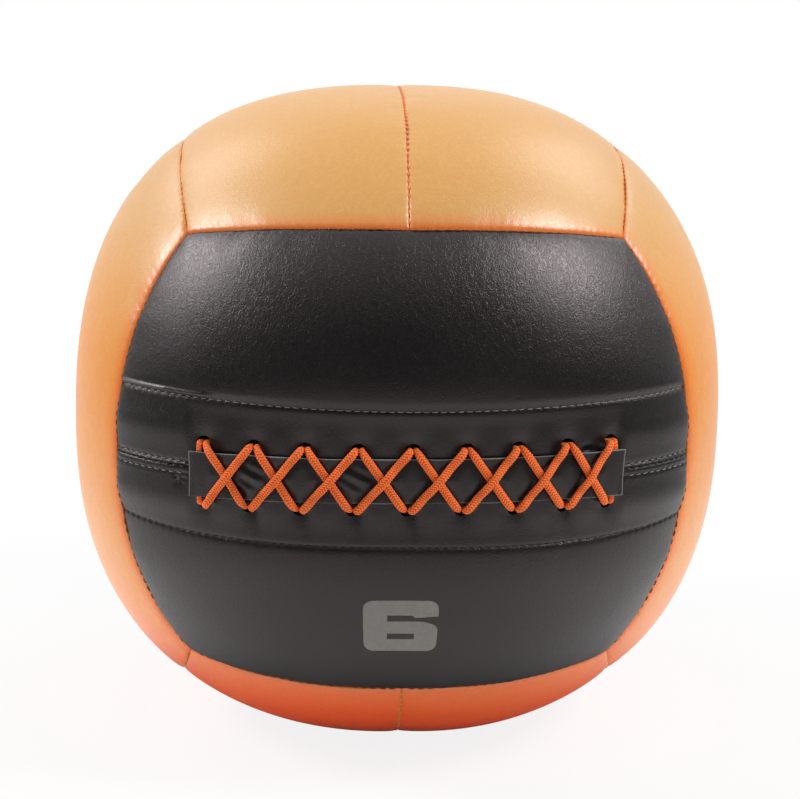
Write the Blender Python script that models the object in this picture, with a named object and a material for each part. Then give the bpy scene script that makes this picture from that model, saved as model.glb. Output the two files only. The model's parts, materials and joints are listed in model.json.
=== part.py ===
"""A laced wall ball: twelve sewn panels over foam, a liner, packed stuffing and a sand core.

The ball stands on the XY plane with its lacing towards -Y. Each face of the ball is two panels that
meet at a mid seam, and the mid seams of neighbouring faces run square to each other. Sizes are in metres.
"""

import math

import bmesh
import bpy
import numpy as np
from mathutils import Vector

MM = 0.001

# The ball's outline
BALL_RADIUS = 175 * MM  # from the centre to the middle of a face
ROUNDING_POWER = 2.5  # 2 is a sphere, and more is squarer
CORNER_DRAW_SHARE = 0.03  # how much the eight corners are drawn in
BASE_FLAT = 4 * MM  # how much of the base is pressed flat by the weight
CENTRE_HEIGHT = BALL_RADIUS - BASE_FLAT
SEAM_BULGE_SHARE = 0.24  # how far a panel's ends bulge into the next face

# The seams between panels
SEAM_GAP = 0.3 * MM
SEAM_ALLOWANCE = 6.5 * MM
SEAM_DIP = 1.0 * MM
SEAM_DIP_REACH = 4 * MM
PANEL_CROWN = 1.0 * MM
PANEL_CROWN_REACH = 22 * MM
SEAM_ROW = 6 * MM  # the row of points nearest a seam

# The layers of the cover and the filling
LAYER_GAP = 0.3 * MM
SKIN = 1.2 * MM
FOAM = 5 * MM
FOAM_GAP = 0.9 * MM
FOAM_MARGIN = 7 * MM
LINER = 0.8 * MM
LINER_DEPTH = 13 * MM  # below the ball's outline
LINER_DRAW = 4.5 * MM  # how much further the lacing presses the liner in

# The laced band across the front
BAND_HALF_WIDTH = 33 * MM  # from the slit's middle to the hem's stitching
BAND_REACH = 118 * MM  # along the slit, where the draw of the lacing fades
BAND_SINK = 4 * MM
SLIT_HALF_LENGTH = 106 * MM
SLIT_HALF_GAP = 6 * MM
FACING = 1.2 * MM
FACING_GAP = 0.8 * MM
FACING_SETBACK = 2 * MM

# The lace and its holes
HOLE_PAIRS = 9
HOLE_PITCH = 26.8 * MM
HOLE_EASE_SHARE = 0.004  # how much closer the holes get towards the ends
HOLE_RISE = 16.6 * MM
HOLE_DIAMETER = 7.8 * MM
HOLE_CUT_LENGTH = 16 * MM
LACE_WIDTH = 4.4 * MM
LACE_THICKNESS = 3.2 * MM
LACE_SQUEEZED = 2.6 * MM  # across the lace where it goes through a hole
LACE_SIDES = 6
LACE_GAP = 0.65 * MM
CROSSING_GAP = 0.9 * MM
LACE_SPREAD = (LACE_SQUEEZED + LACE_GAP) / 2  # from a hole's middle to each of its two strands
LACE_IN_HOLE = 1.3 * MM  # from a hole's middle towards the slit, where its strands lie
CROSSING_RUN = 2.4 * MM  # how far up and down a strand stays raised over the one it crosses
CROSSING_SLOPE = 7.7 * MM
KNOT_RADII = (4.6 * MM, 3.9 * MM, 1.6 * MM)
FLAT_STRAND_SHARE = 0.5  # a strand that runs straighter in than this keeps the last one's turn
GAP_STEP_SHARE = 0.25  # of the way from one ring of the lace to the next
NEIGHBOUR_RINGS = 3

# Where a strand bends round the edge of a hole, as (towards the slit, out from the cover)
BEND_OVER_STRIP = ((2.7 * MM, 3.3 * MM), (0.7 * MM, 2.0 * MM))
BEND_UNDER_STRIP = ((7.3 * MM, 1.8 * MM), (2.7 * MM, 2.0 * MM), (0.8 * MM, 1.5 * MM))
BEND_MOUTH = (-0.2 * MM, -2.2 * MM)
BEND_INSIDE = ((0, -4.6 * MM), (1.1 * MM, -5.9 * MM), (3.8 * MM, -6.1 * MM))
DEEPER_STRAND_SHARES = (0.5, 0.9, 1)  # how far the deeper of two strands has sunk at each of those bends

# The strip under the lace
STRIP = 1.2 * MM
STRIP_WIDTH = 23 * MM
STRIP_END = 8.4 * MM  # beyond the last hole
STRIP_LIFT = 3.6 * MM  # at its ends, over the lace's tails
STRIP_LIFT_RUN = 20 * MM
STRIP_LIFT_LEAN_SHARE = 0.75  # how much of the lift a strand keeps past the strip's edge
STRIP_COLUMNS = 16

# The sand core
CORE_RADIUS = 62 * MM
CORE_CLOTH = 1.0 * MM
NECK_RADIUS = 9 * MM
NECK_HEIGHT = 22 * MM
NECK_BORE = 3 * MM
TIE_RADIUS = 1.6 * MM
TIE_HEIGHT_SHARE = 0.4
POCKET_GAP = 1.0 * MM

# How finely the pieces are divided
ROWS_PER_PANEL = 6
ROUND_COLUMNS = 24
ROUND_ROWS = 6
HOLE_SIDES = 8
CORE_COLUMNS = 16

# Each face's outward direction, the way its mid seam runs, and the way across it
FACES = {
    "front": ((0, -1, 0), (1, 0, 0), (0, 0, 1)),
    "back": ((0, 1, 0), (-1, 0, 0), (0, 0, 1)),
    "top": ((0, 0, 1), (0, 1, 0), (-1, 0, 0)),
    "bottom": ((0, 0, -1), (0, 1, 0), (1, 0, 0)),
    "left": ((-1, 0, 0), (0, 0, 1), (0, 1, 0)),
    "right": ((1, 0, 0), (0, 0, 1), (0, -1, 0)),
}

# Each panel's name, its face, and the side of the mid seam it lies on
PANELS = (
    ("front_upper", "front", 1),
    ("front_lower", "front", -1),
    ("back_upper", "back", 1),
    ("back_lower", "back", -1),
    ("top_left", "top", 1),
    ("top_right", "top", -1),
    ("bottom_left", "bottom", -1),
    ("bottom_right", "bottom", 1),
    ("left_front", "left", -1),
    ("left_back", "left", 1),
    ("right_front", "right", 1),
    ("right_back", "right", -1),
)
BLACK_FACES = ("front", "back")

# Colour, roughness and metallic value of each finish
FINISHES = {
    "black_leather": ((0.022, 0.020, 0.021), 0.42, 0.0),
    "orange_leather": ((0.90, 0.25, 0.035), 0.45, 0.0),
    "foam": ((0.12, 0.12, 0.12), 0.95, 0.0),
    "lace_cord": ((0.92, 0.16, 0.02), 0.8, 0.0),
    "liner_cloth": ((0.62, 0.60, 0.54), 0.9, 0.0),
    "stuffing_fibre": ((0.46, 0.45, 0.44), 1.0, 0.0),
    "core_canvas": ((0.48, 0.40, 0.27), 0.9, 0.0),
    "sand": ((0.36, 0.28, 0.18), 0.95, 0.0),
    "tie_plastic": ((0.85, 0.85, 0.82), 0.5, 0.0),
}


def finish(name):
    """The material of one finish, made the first time it is asked for."""
    material = bpy.data.materials.get(name)
    if material is None:
        colour, roughness, metallic = FINISHES[name]
        material = bpy.data.materials.new(name)
        material.use_nodes = True
        shader = material.node_tree.nodes["Principled BSDF"]
        shader.inputs["Base Color"].default_value = (*colour, 1)
        shader.inputs["Roughness"].default_value = roughness
        shader.inputs["Metallic"].default_value = metallic
        material.diffuse_color = (*colour, 1)
    return material


# The ball's outline


def outline_reach(direction):
    """How far the ball's outline lies from its centre along a unit direction: a rounded cube."""
    x, y, z = (abs(c) for c in direction)
    total = x**ROUNDING_POWER + y**ROUNDING_POWER + z**ROUNDING_POWER
    corner = 27 * (x * y * z) ** 2  # 1 at a corner and 0 on the planes between
    return BALL_RADIUS * total ** (-1 / ROUNDING_POWER) * (1 - CORNER_DRAW_SHARE * corner)


def band_share(direction):
    """How much of the lacing's draw there is: 1 in the laced band and 0 away from it."""
    along = BALL_RADIUS * math.atan2(direction.x, -direction.y)
    rise = BALL_RADIUS * math.asin(max(-1, min(1, direction.z)))
    across_share = 1 / (1 + (rise / BAND_HALF_WIDTH) ** 6)
    return across_share / (1 + (along / BAND_REACH) ** 8)


def body_point(direction, depth, dip=0.0, draw=0.0):
    """The point of a layer at some depth under the outline: dipped, drawn in, and pressed flat at the base."""
    reach = outline_reach(direction) - dip - (BAND_SINK + draw) * band_share(direction)
    point = direction * (reach - depth)
    point.z = max(point.z, depth - CENTRE_HEIGHT)
    return point + Vector((0, 0, CENTRE_HEIGHT))


# The twelve panels


def end_edge(across):
    """Where a face ends along its mid seam, at some place across it, on a plane one unit from the centre."""
    return 1 + SEAM_BULGE_SHARE * (1 - across * across)


def side_edge(along):
    """Where a face ends across its mid seam: the curve that the next face's end edge makes there."""
    k = SEAM_BULGE_SHARE
    return (1 + math.sqrt(1 + 4 * (1 + k) * k * along * along)) / (2 * (1 + k))


def face_place(u, v):
    """The plane coordinates of a place on a face, where u and v run from -1 to 1 between its edges."""
    return u * end_edge(v), v * side_edge(u)


def face_direction(face, along, across):
    """The direction from the ball's centre through a place on a face's plane."""
    normal, along_axis, across_axis = (Vector(axis) for axis in FACES[face])
    return (normal + along * along_axis + across * across_axis).normalized()


def seam_dip(face, along, across):
    """How far a panel's surface falls below the outline because of the seams near it."""
    angles = (
        math.atan(end_edge(across)) - math.atan(abs(along)),
        math.atan(side_edge(along)) - math.atan(abs(across)),
        math.atan(abs(across)),
    )
    if face == "front":
        angles = angles[:2]  # the lacing draws in the front's mid seam instead
    nearest = BALL_RADIUS * max(0, min(angles))
    return SEAM_DIP * math.exp(-nearest / SEAM_DIP_REACH) + PANEL_CROWN * math.exp(
        -nearest / PANEL_CROWN_REACH
    )


def panel_point(face, u, v, depth=0.0):
    """The point at some depth under a panel's outer surface."""
    along, across = face_place(u, v)
    direction = face_direction(face, along, across)
    return body_point(direction, depth, seam_dip(face, along, across))


def front_place(u, rise):
    """The v at which the front face is some height above its mid seam, measured round the ball."""
    v = 0.0
    for _ in range(6):
        along = u * end_edge(v)
        across = math.tan(rise / BALL_RADIUS) * math.sqrt(1 + along * along)
        v = across / side_edge(u)
    return v


def slit_half_gap(u):
    """Half the slit's opening at a place along the front face, and half a seam's gap past its ends."""
    along = BALL_RADIUS * math.atan(abs(u) * end_edge(0))
    opening = SLIT_HALF_GAP * (1 - (along / SLIT_HALF_LENGTH) ** 4)
    return max(opening, SEAM_GAP / 2)


def half_gap_share():
    """Half a seam's gap as a share of a face's half width."""
    return SEAM_GAP / 2 / (math.atan(side_edge(0)) * BALL_RADIUS)


def half_stations():
    """Where a panel's rows of points lie from the mid seam at 0 to the edge at 1, close at each seam."""
    near = SEAM_ROW / (math.atan(side_edge(0)) * BALL_RADIUS)
    band = front_place(1, BAND_HALF_WIDTH)
    inner = np.linspace(band, 1 - near, ROWS_PER_PANEL - 2)
    return [half_gap_share(), near, *(float(x) for x in inner), 1 - half_gap_share()]


def column_stations():
    """Where a panel's columns lie along its mid seam, so that they meet the rows of the next face."""
    half = [v / end_edge(v) for v in half_stations()[1:]]
    return [*(-u for u in reversed(half)), 0.0, *half]


def panel_rows(face, side, u):
    """The v of each row of a panel at one column, from its lower edge to its upper one."""
    rows = half_stations()
    if face == "front":
        rows[0] = front_place(u, slit_half_gap(u))
        rows[1] += rows[0]
        rows[2] = front_place(u, BAND_HALF_WIDTH)
    return rows if side > 0 else [-v for v in reversed(rows)]


def link(name, mesh, material_name):
    """A new object in the scene with one material, shaded smooth."""
    item = bpy.data.objects.new(name, mesh)
    bpy.context.scene.collection.objects.link(item)
    mesh.materials.append(finish(material_name))
    mesh.shade_smooth()
    mesh.set_sharp_from_angle(angle=math.radians(40))
    return item


def sheet(rows):
    """A bmesh of quads through rows of points, facing the side where columns, rows and normal are a right hand."""
    bm = bmesh.new()
    grid = [[bm.verts.new(point) for point in row] for row in rows]
    for low, high in zip(grid, grid[1:]):
        for i in range(len(low) - 1):
            bm.faces.new((low[i], low[i + 1], high[i + 1], high[i]))
    return bm, grid


def to_mesh(name, bm):
    mesh = bpy.data.meshes.new(name)
    bm.to_mesh(mesh)
    bm.free()
    return mesh


def thicken(item, thickness, outward=False):
    """Gives a sheet its thickness, under it or, where outward is set, above it."""
    wall = item.modifiers.new("thickness", "SOLIDIFY")
    wall.thickness = thickness
    wall.offset = 1 if outward else -1
    wall.use_even_offset = True
    return item


def turn_in_seams(bm, face, side, places):
    """Turns a panel's borders inwards by the seam allowance, apart from the lips of the slit."""
    depths = {}
    for vert, (u, v) in places.items():
        depths[vert] = panel_point(face, u, v, SEAM_ALLOWANCE)
    borders = []
    for edge in bm.edges:
        if not edge.is_boundary:
            continue
        ends = [places[vert] for vert in edge.verts]
        along_slit = all(abs(v) < half_stations()[1] + SLIT_HALF_GAP / BALL_RADIUS for _, v in ends)
        opened = any(slit_half_gap(u) > SEAM_GAP / 2 for u, _ in ends)
        if not (face == "front" and along_slit and opened):
            borders.append(edge)
    turned = bmesh.ops.extrude_edge_only(bm, edges=borders)["geom"]
    for vert in (part for part in turned if isinstance(part, bmesh.types.BMVert)):
        above = min(depths, key=lambda other: (other.co - vert.co).length_squared)
        vert.co = depths[above]


def make_panel(name, face, side):
    """A panel of the cover: its crowned outer surface with turned-in seam allowances."""
    columns = column_stations()
    rows = [panel_rows(face, side, u) for u in columns]
    count = len(rows[0])
    points = [
        [panel_point(face, u, rows[i][j]) for i, u in enumerate(columns)] for j in range(count)
    ]
    bm, grid = sheet(points)
    places = {
        grid[j][i]: (u, rows[i][j]) for i, u in enumerate(columns) for j in range(count)
    }
    turn_in_seams(bm, face, side, places)
    leather = "black_leather" if face in BLACK_FACES else "orange_leather"
    return thicken(link(f"{name}_panel", to_mesh(name, bm), leather), SKIN)


def make_foam(name, face, side):
    """The foam pad behind a panel, clear of its seam allowances and, on the front, of the hem's facing."""
    edge = 1 - FOAM_MARGIN / (math.atan(side_edge(0)) * BALL_RADIUS)
    stations = half_stations()
    half = [0.0, stations[2], stations[4], edge]
    ends = [v / end_edge(v) for v in half[1:]]
    columns = [*(-u for u in reversed(ends)), 0.0, *ends]
    layers = []
    for depth in (SKIN + FOAM_GAP + FOAM, SKIN + FOAM_GAP):
        points = []
        for j, v in enumerate(half):
            row = []
            for u in columns:
                if j == 0:
                    v = front_place(u, BAND_HALF_WIDTH + FACING_SETBACK) if face == "front" else 1 - edge
                if j == 1 and face == "front":
                    v = (half[2] + front_place(u, BAND_HALF_WIDTH + FACING_SETBACK)) / 2
                row.append(panel_point(face, u, side * v, depth))
            points.append(row)
        layers.append(points if side > 0 else points[::-1])
    return link(f"{name}_foam", slab(f"{name}_foam", *layers), "foam")


def slab(name, under, over):
    """A closed mesh between two grids of points with the same rows and columns."""
    bm, top = sheet(over)
    bottom = [[bm.verts.new(point) for point in row] for row in under]
    for low, high in zip(bottom, bottom[1:]):
        for i in range(len(low) - 1):
            bm.faces.new((low[i], high[i], high[i + 1], low[i + 1]))
    rim_over, rim_under = border(top), border(bottom)
    for i in range(len(rim_over)):
        k = (i + 1) % len(rim_over)
        bm.faces.new((rim_over[k], rim_over[i], rim_under[i], rim_under[k]))
    return to_mesh(name, bm)


def border(grid):
    """The points round the outside of a grid, in order."""
    right = [row[-1] for row in grid[1:-1]]
    left = [row[0] for row in grid[1:-1]]
    return [*grid[0], *right, *reversed(grid[-1]), *reversed(left)]


# The laced slit


def front_direction(along, rise):
    """The direction from the ball's centre to a place along the slit and up from it."""
    turn, tilt = along / BALL_RADIUS, rise / BALL_RADIUS
    return Vector(
        (math.sin(turn) * math.cos(tilt), -math.cos(turn) * math.cos(tilt), math.sin(tilt))
    )


def front_point(along, rise, lift):
    """A point over the front of the ball: along the slit, up from it, and out from the outline."""
    return body_point(front_direction(along, rise), -lift)


def hole_along(k):
    """How far along the slit a pair of holes lies, counted from the left."""
    step = k - (HOLE_PAIRS - 1) / 2
    return step * HOLE_PITCH * (1 - HOLE_EASE_SHARE * step * step)


def make_hole_cutter(side):
    """The punch that makes one row of lace holes."""
    bm = bmesh.new()
    for k in range(HOLE_PAIRS):
        outward = front_direction(hole_along(k), side * HOLE_RISE)
        turn = outward.to_track_quat("Z", "Y").to_matrix().to_4x4()
        turn.translation = front_point(hole_along(k), side * HOLE_RISE, 0)
        bmesh.ops.create_cone(
            bm,
            cap_ends=True,
            segments=HOLE_SIDES,
            radius1=HOLE_DIAMETER / 2,
            radius2=HOLE_DIAMETER / 2,
            depth=HOLE_CUT_LENGTH,
            matrix=turn,
        )
    return make_cutter(f"hole_punch_{'upper' if side > 0 else 'lower'}", bm)


def make_cutter(name, bm):
    """An object that only cuts others."""
    cutter = bpy.data.objects.new(name, to_mesh(name, bm))
    bpy.context.scene.collection.objects.link(cutter)
    cutter.hide_render = True
    cutter.display_type = "WIRE"
    return cutter


def cut(item, cutter):
    """Cuts one object out of another."""
    away = item.modifiers.new(cutter.name, "BOOLEAN")
    away.operation = "DIFFERENCE"
    away.solver = "EXACT"
    away.object = cutter


def make_facing(name, side):
    """The strip of leather sewn behind one lip of the slit, from its edge to the hem's stitching."""
    columns = column_stations()[1:-1]
    layers = []
    for depth in (SKIN + FACING_GAP + FACING, SKIN + FACING_GAP):
        rows = []
        for j in range(3):
            row = []
            for u in columns:
                lip, middle, hem = panel_rows("front", 1, u)[:3]
                inset = front_place(u, FACING_SETBACK)
                v = (lip + inset, middle, hem - inset / 2)[j]
                row.append(panel_point("front", u, side * v, depth))
            rows.append(row)
        layers.append(rows if side > 0 else rows[::-1])
    return link(name, slab(name, *layers), "black_leather")


def strip_lift(along):
    """How far the strip is held off the cover by the lace's tails under its ends."""
    start = hole_along(HOLE_PAIRS - 1) - STRIP_LIFT_RUN
    return STRIP_LIFT * min(1, max(0, (abs(along) - start) / STRIP_LIFT_RUN))


def make_strip():
    """The strip that covers the slit, held down by the lace."""
    last = hole_along(HOLE_PAIRS - 1)
    flat = last - STRIP_LIFT_RUN
    end = [last - STRIP_LIFT_RUN / 2, last, last + STRIP_END]
    columns = [*(-a for a in reversed(end)), *np.linspace(-flat, flat, STRIP_COLUMNS), *end]
    rows = []
    for share in (-1, 0, 1):
        rise = share * STRIP_WIDTH / 2
        rows.append([front_point(a, rise, LAYER_GAP + strip_lift(a)) for a in columns])
    bm, _ = sheet(rows)
    name = "lace_cover_strip"
    return thicken(link(name, to_mesh(name, bm), "black_leather"), STRIP, outward=True)


# The lace: each point of its route is (along the slit, up from it, out, half width, half thickness)


def squeezed(along, rise, out):
    """A point of the lace's route where it is squeezed round."""
    return (along, rise, out, LACE_SQUEEZED / 2, LACE_SQUEEZED / 2)


def strand_rise():
    """How far above the slit's middle a strand goes through an upper hole."""
    return HOLE_RISE - LACE_IN_HOLE


def through_hole(k, side, half):
    """A strand going in through a hole."""
    along = hole_along(k) + half * LACE_SPREAD
    return [squeezed(along, side * strand_rise(), out) for out in BEND_MOUTH]


def inner_run(k, half, layer):
    """In at an upper hole, down inside the ball, and out at the lower hole on its other half."""
    deeper = layer * (LACE_SQUEEZED + LACE_GAP)
    bends = []
    for (inward, out), share in zip(BEND_INSIDE, DEEPER_STRAND_SHARES):
        bends.append((strand_rise() - inward, out - share * deeper))
    left, right = hole_along(k) + half * LACE_SPREAD, hole_along(k) - half * LACE_SPREAD
    down = [squeezed(left, rise, out) for rise, out in bends]
    up = [squeezed(right, -rise, out) for rise, out in reversed(bends)]
    return [*through_hole(k, 1, half), *down, *up, *reversed(through_hole(k, -1, -half))]


def over_strip(along, rise, hump=0):
    """A place over the strip for a strand, raised where it crosses another one."""
    out = strip_lift(along) + LAYER_GAP + STRIP + LAYER_GAP + LACE_THICKNESS / 2
    out += hump * (LACE_THICKNESS + CROSSING_GAP)
    return (along, rise, out, LACE_WIDTH / 2, LACE_THICKNESS / 2)


def outer_run(lower, upper, over):
    """Outside the strip, up from a lower hole to an upper one, over or under the strand it crosses."""
    lean = 1 if upper > lower else -1
    start = hole_along(lower) + lean * LACE_SPREAD
    length = hole_along(upper) - hole_along(lower) - 2 * lean * LACE_SPREAD

    def along_at(rise):
        return start + length * (rise / strand_rise() + 1) / 2

    def bend(side):
        (off_edge, edge_out), (off_lip, lip_out) = BEND_OVER_STRIP
        edge, lip = side * (strand_rise() - off_edge), side * (strand_rise() - off_lip)
        lift = strip_lift(along_at(edge))
        return [
            (along_at(edge), edge, edge_out + lift, LACE_WIDTH / 2, LACE_THICKNESS / 2),
            squeezed(along_at(lip), lip, lip_out + lift * STRIP_LIFT_LEAN_SHARE),
        ]

    route = list(reversed(bend(-1)))
    for rise in (-CROSSING_SLOPE, -CROSSING_RUN, CROSSING_RUN, CROSSING_SLOPE):
        raised = 1 if over and abs(rise) == CROSSING_RUN else 0
        route.append(over_strip(along_at(rise), rise, raised))
    return [*route, *bend(1)]


def under_strip(k, half, side):
    """A strand between the cover and an end of the strip, from near the slit out to a hole."""
    along = hole_along(k) + half * LACE_SPREAD
    return [squeezed(along, side * (strand_rise() - off), out) for off, out in BEND_UNDER_STRIP]


def lace_route():
    """The whole lace: one helix along the slit, a turn under the strip's right end, and one back over it."""
    last = HOLE_PAIRS - 1
    route = under_strip(0, -1, 1)
    for k in range(last):
        route += [*inner_run(k, -1, 0), *outer_run(k, k + 1, over=True)]
    route += inner_run(last, -1, 0)
    route += [*reversed(under_strip(last, 1, -1)), *under_strip(last, 1, 1)]
    for k in range(last, 0, -1):
        route += [*inner_run(k, 1, 1), *outer_run(k, k - 1, over=False)]
    route += inner_run(0, 1, 1)
    route += reversed(under_strip(0, -1, -1))
    return route


def lace_frames(route):
    """The lace's centre line, and its directions across its width and across its thickness."""
    centres = np.array([front_point(*place[:3]) for place in route])
    outward = np.array([front_direction(*place[:2]) for place in route])
    forward = np.gradient(centres, axis=0)
    forward /= np.linalg.norm(forward, axis=1, keepdims=True)
    widths, last = [], np.array((1.0, 0.0, 0.0))
    for ahead, out in zip(forward, outward):
        flat = np.cross(ahead, out)
        if np.linalg.norm(flat) > FLAT_STRAND_SHARE:
            last = flat if flat @ last > 0 else -flat
        last = last - ahead * (last @ ahead)
        last = last / np.linalg.norm(last)
        widths.append(last)
    return centres, np.array(widths), np.cross(forward, np.array(widths))


def least_lace_gap(route, centres, widths, depths):
    """The least gap between parts of the lace that aren't next to each other along it."""
    steps = np.arange(0, len(route) - 1 + GAP_STEP_SHARE, GAP_STEP_SHARE)
    at = np.arange(len(route))

    def fill(values):
        return np.stack([np.interp(steps, at, column) for column in np.transpose(values)], axis=-1)

    line, wide, deep = fill(centres), fill(widths), fill(depths)
    half = fill([place[3:] for place in route])
    away = line[None] - line[:, None]
    reach = np.linalg.norm(away, axis=2)
    apart = np.abs(steps[None] - steps[:, None]) > NEIGHBOUR_RINGS
    unit = away / np.maximum(reach, SEAM_GAP)[..., None]
    across = np.einsum("ijk,ik->ij", unit, wide) * half[:, None, 0]
    through = np.einsum("ijk,ik->ij", unit, deep) * half[:, None, 1]
    own = np.hypot(across, through)
    return (reach - own - own.T)[apart].min()


def make_lace():
    """The lace, a flattened tube along its route."""
    route = lace_route()
    centres, widths, depths = lace_frames(route)
    angles = 2 * math.pi * (np.arange(LACE_SIDES) + 0.5) / LACE_SIDES
    half = np.array([place[3:] for place in route])
    rings = centres[:, None] + np.cos(angles)[None, :, None] * (half[:, :1] * widths)[:, None]
    rings += np.sin(angles)[None, :, None] * (half[:, 1:] * depths)[:, None]
    bm = bmesh.new()
    verts = [[bm.verts.new(point) for point in ring] for ring in rings]
    for ring, after in zip(verts, verts[1:]):
        for j in range(LACE_SIDES):
            k = (j + 1) % LACE_SIDES
            bm.faces.new((ring[j], ring[k], after[k], after[j]))
    bm.faces.new(list(reversed(verts[0])))
    bm.faces.new(verts[-1])
    gap = least_lace_gap(route, centres, widths, depths)
    print(f"The lace's least gap to itself is {gap / MM:.2f} mm")
    return link("lace", to_mesh("lace", bm), "lace_cord")


def make_knot():
    """The knot that ties the lace's two tails, under the strip's left end."""
    along = hole_along(0) - LACE_SPREAD
    centre = front_point(along, 0, LAYER_GAP + KNOT_RADII[2])
    outward = front_direction(along, 0)
    sideways = Vector((0, 0, 1)).cross(outward).normalized()
    up = outward.cross(sideways)
    bm = bmesh.new()
    bmesh.ops.create_icosphere(bm, subdivisions=2, radius=1)
    for vert in bm.verts:
        x, y, z = vert.co
        wide, tall, deep = KNOT_RADII
        vert.co = centre + sideways * x * wide + up * y * tall + outward * z * deep
    return link("lace_knot", to_mesh("lace_knot", bm), "lace_cord")


# The filling


def half_shell_rows(side, depth):
    """Rows of points over the upper or lower half of the ball, from its rim to its pole."""
    rim = math.asin(LAYER_GAP / 2 / BALL_RADIUS)
    rows = []
    for i in range(ROUND_ROWS + 1):
        tilt = rim + (math.pi / 2 - rim) * i / ROUND_ROWS
        row = []
        for j in range(ROUND_COLUMNS if i < ROUND_ROWS else 1):
            turn = 2 * math.pi * j / ROUND_COLUMNS
            direction = Vector(
                (math.cos(turn) * math.cos(tilt), math.sin(turn) * math.cos(tilt), side * math.sin(tilt))
            )
            point = body_point(direction, depth, draw=LINER_DRAW)
            if i == 0:
                point.z = CENTRE_HEIGHT + side * LAYER_GAP / 2
            row.append(point)
        rows.append(row)
    return rows


def half_shell(side, depth):
    """A bmesh of half the ball's surface, and the ring of points at its rim."""
    bm = bmesh.new()
    grid = [[bm.verts.new(point) for point in row] for row in half_shell_rows(side, depth)]
    pole = grid[-1][0]
    for low, high in zip(grid, grid[1:]):
        for j in range(ROUND_COLUMNS):
            k = (j + 1) % ROUND_COLUMNS
            corners = [low[j], low[k], pole] if high[0] is pole else [low[j], low[k], high[k], high[j]]
            bm.faces.new(corners if side > 0 else corners[::-1])
    return bm, grid[0]


def make_liner(name, side):
    """Half of the cloth bag that holds the stuffing."""
    bm, _ = half_shell(side, LINER_DEPTH)
    return thicken(link(name, to_mesh(name, bm), "liner_cloth"), LINER)


def make_stuffing(name, side, cutters):
    """Half of the packed stuffing, hollowed for the core."""
    bm, rim = half_shell(side, LINER_DEPTH + LINER + LAYER_GAP)
    bm.faces.new(rim[::-1] if side > 0 else rim)
    item = link(name, to_mesh(name, bm), "stuffing_fibre")
    for cutter in cutters:
        cut(item, cutter)
    return item


def core_arc(radius, opening=0.0):
    """A ball's section as (radius, height) from an opening at its top down to its foot."""
    steps = CORE_COLUMNS // 2
    angles = [math.asin(opening / radius), *(math.pi * i / steps for i in range(1, steps))]
    return [*((radius * math.sin(a), radius * math.cos(a)) for a in angles), (0.0, -radius)]


def core_profile():
    """The canvas bag in section, from its mouth down its outside and up its inside."""
    mouth = CORE_RADIUS + NECK_HEIGHT
    outside = [(NECK_BORE, mouth), (NECK_RADIUS, mouth), *core_arc(CORE_RADIUS, NECK_RADIUS)]
    inside = [(NECK_BORE, mouth), *core_arc(CORE_RADIUS - CORE_CLOTH, NECK_BORE)]
    return [outside, inside]


def turned(profiles):
    """A bmesh made by turning profiles of (radius, height) round the ball's upright axis."""
    bm = bmesh.new()
    for profile in profiles:
        verts = [bm.verts.new((radius, 0, CENTRE_HEIGHT + height)) for radius, height in profile]
        edges = [bm.edges.new(pair) for pair in zip(verts, verts[1:])]
        bmesh.ops.spin(
            bm,
            geom=[*verts, *edges],
            cent=(0, 0, 0),
            axis=(0, 0, 1),
            angle=2 * math.pi,
            steps=CORE_COLUMNS,
            use_duplicate=False,
        )
    bmesh.ops.remove_doubles(bm, verts=bm.verts, dist=SEAM_GAP / 100)
    bmesh.ops.recalc_face_normals(bm, faces=bm.faces)
    return bm


def ring_profile(radius, height, thickness):
    """A small round section at some radius, closed on itself."""
    sides = LACE_SIDES
    angles = [2 * math.pi * i / sides for i in range(sides + 1)]
    return [(radius + thickness * math.cos(a), height + thickness * math.sin(a)) for a in angles]


def make_core():
    """The sand, its canvas bag and the tie round the bag's neck."""
    link("core_bag", to_mesh("core_bag", turned(core_profile())), "core_canvas")
    sand = core_arc(CORE_RADIUS - CORE_CLOTH - LAYER_GAP)
    link("core_sand", to_mesh("core_sand", turned([sand])), "sand")
    height = CORE_RADIUS + NECK_HEIGHT * TIE_HEIGHT_SHARE
    tie = ring_profile(NECK_RADIUS + TIE_RADIUS + LAYER_GAP, height, TIE_RADIUS)
    link("core_tie", to_mesh("core_tie", turned([tie])), "tie_plastic")


def core_cutters():
    """The hollow that the core needs in the stuffing: a ball and a pocket for the neck."""
    ball = core_arc(CORE_RADIUS + LAYER_GAP, NECK_RADIUS)
    ball.insert(0, (0.0, ball[0][1]))
    pocket_radius = NECK_RADIUS + 2 * TIE_RADIUS + LAYER_GAP + POCKET_GAP
    top = CORE_RADIUS + NECK_HEIGHT + POCKET_GAP
    pocket = [(0.0, top), (pocket_radius, top), (pocket_radius, CORE_RADIUS / 2), (0.0, CORE_RADIUS / 2)]
    return [
        make_cutter("core_hollow", turned([ball])),
        make_cutter("neck_pocket", turned([pocket])),
    ]


def main():
    for item in list(bpy.data.objects):
        bpy.data.objects.remove(item)
    punches = {1: make_hole_cutter(1), -1: make_hole_cutter(-1)}
    for name, face, side in PANELS:
        panel = make_panel(name, face, side)
        make_foam(name, face, side)
        if face == "front":
            cut(panel, punches[side])
    for name, side in (("upper_lace_facing", 1), ("lower_lace_facing", -1)):
        cut(make_facing(name, side), punches[side])
    make_strip()
    make_lace()
    make_knot()
    make_liner("liner_upper_half", 1)
    make_liner("liner_lower_half", -1)
    hollow, pocket = core_cutters()
    make_stuffing("stuffing_upper_half", 1, [hollow, pocket])
    make_stuffing("stuffing_lower_half", -1, [hollow])
    make_core()


main()
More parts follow.
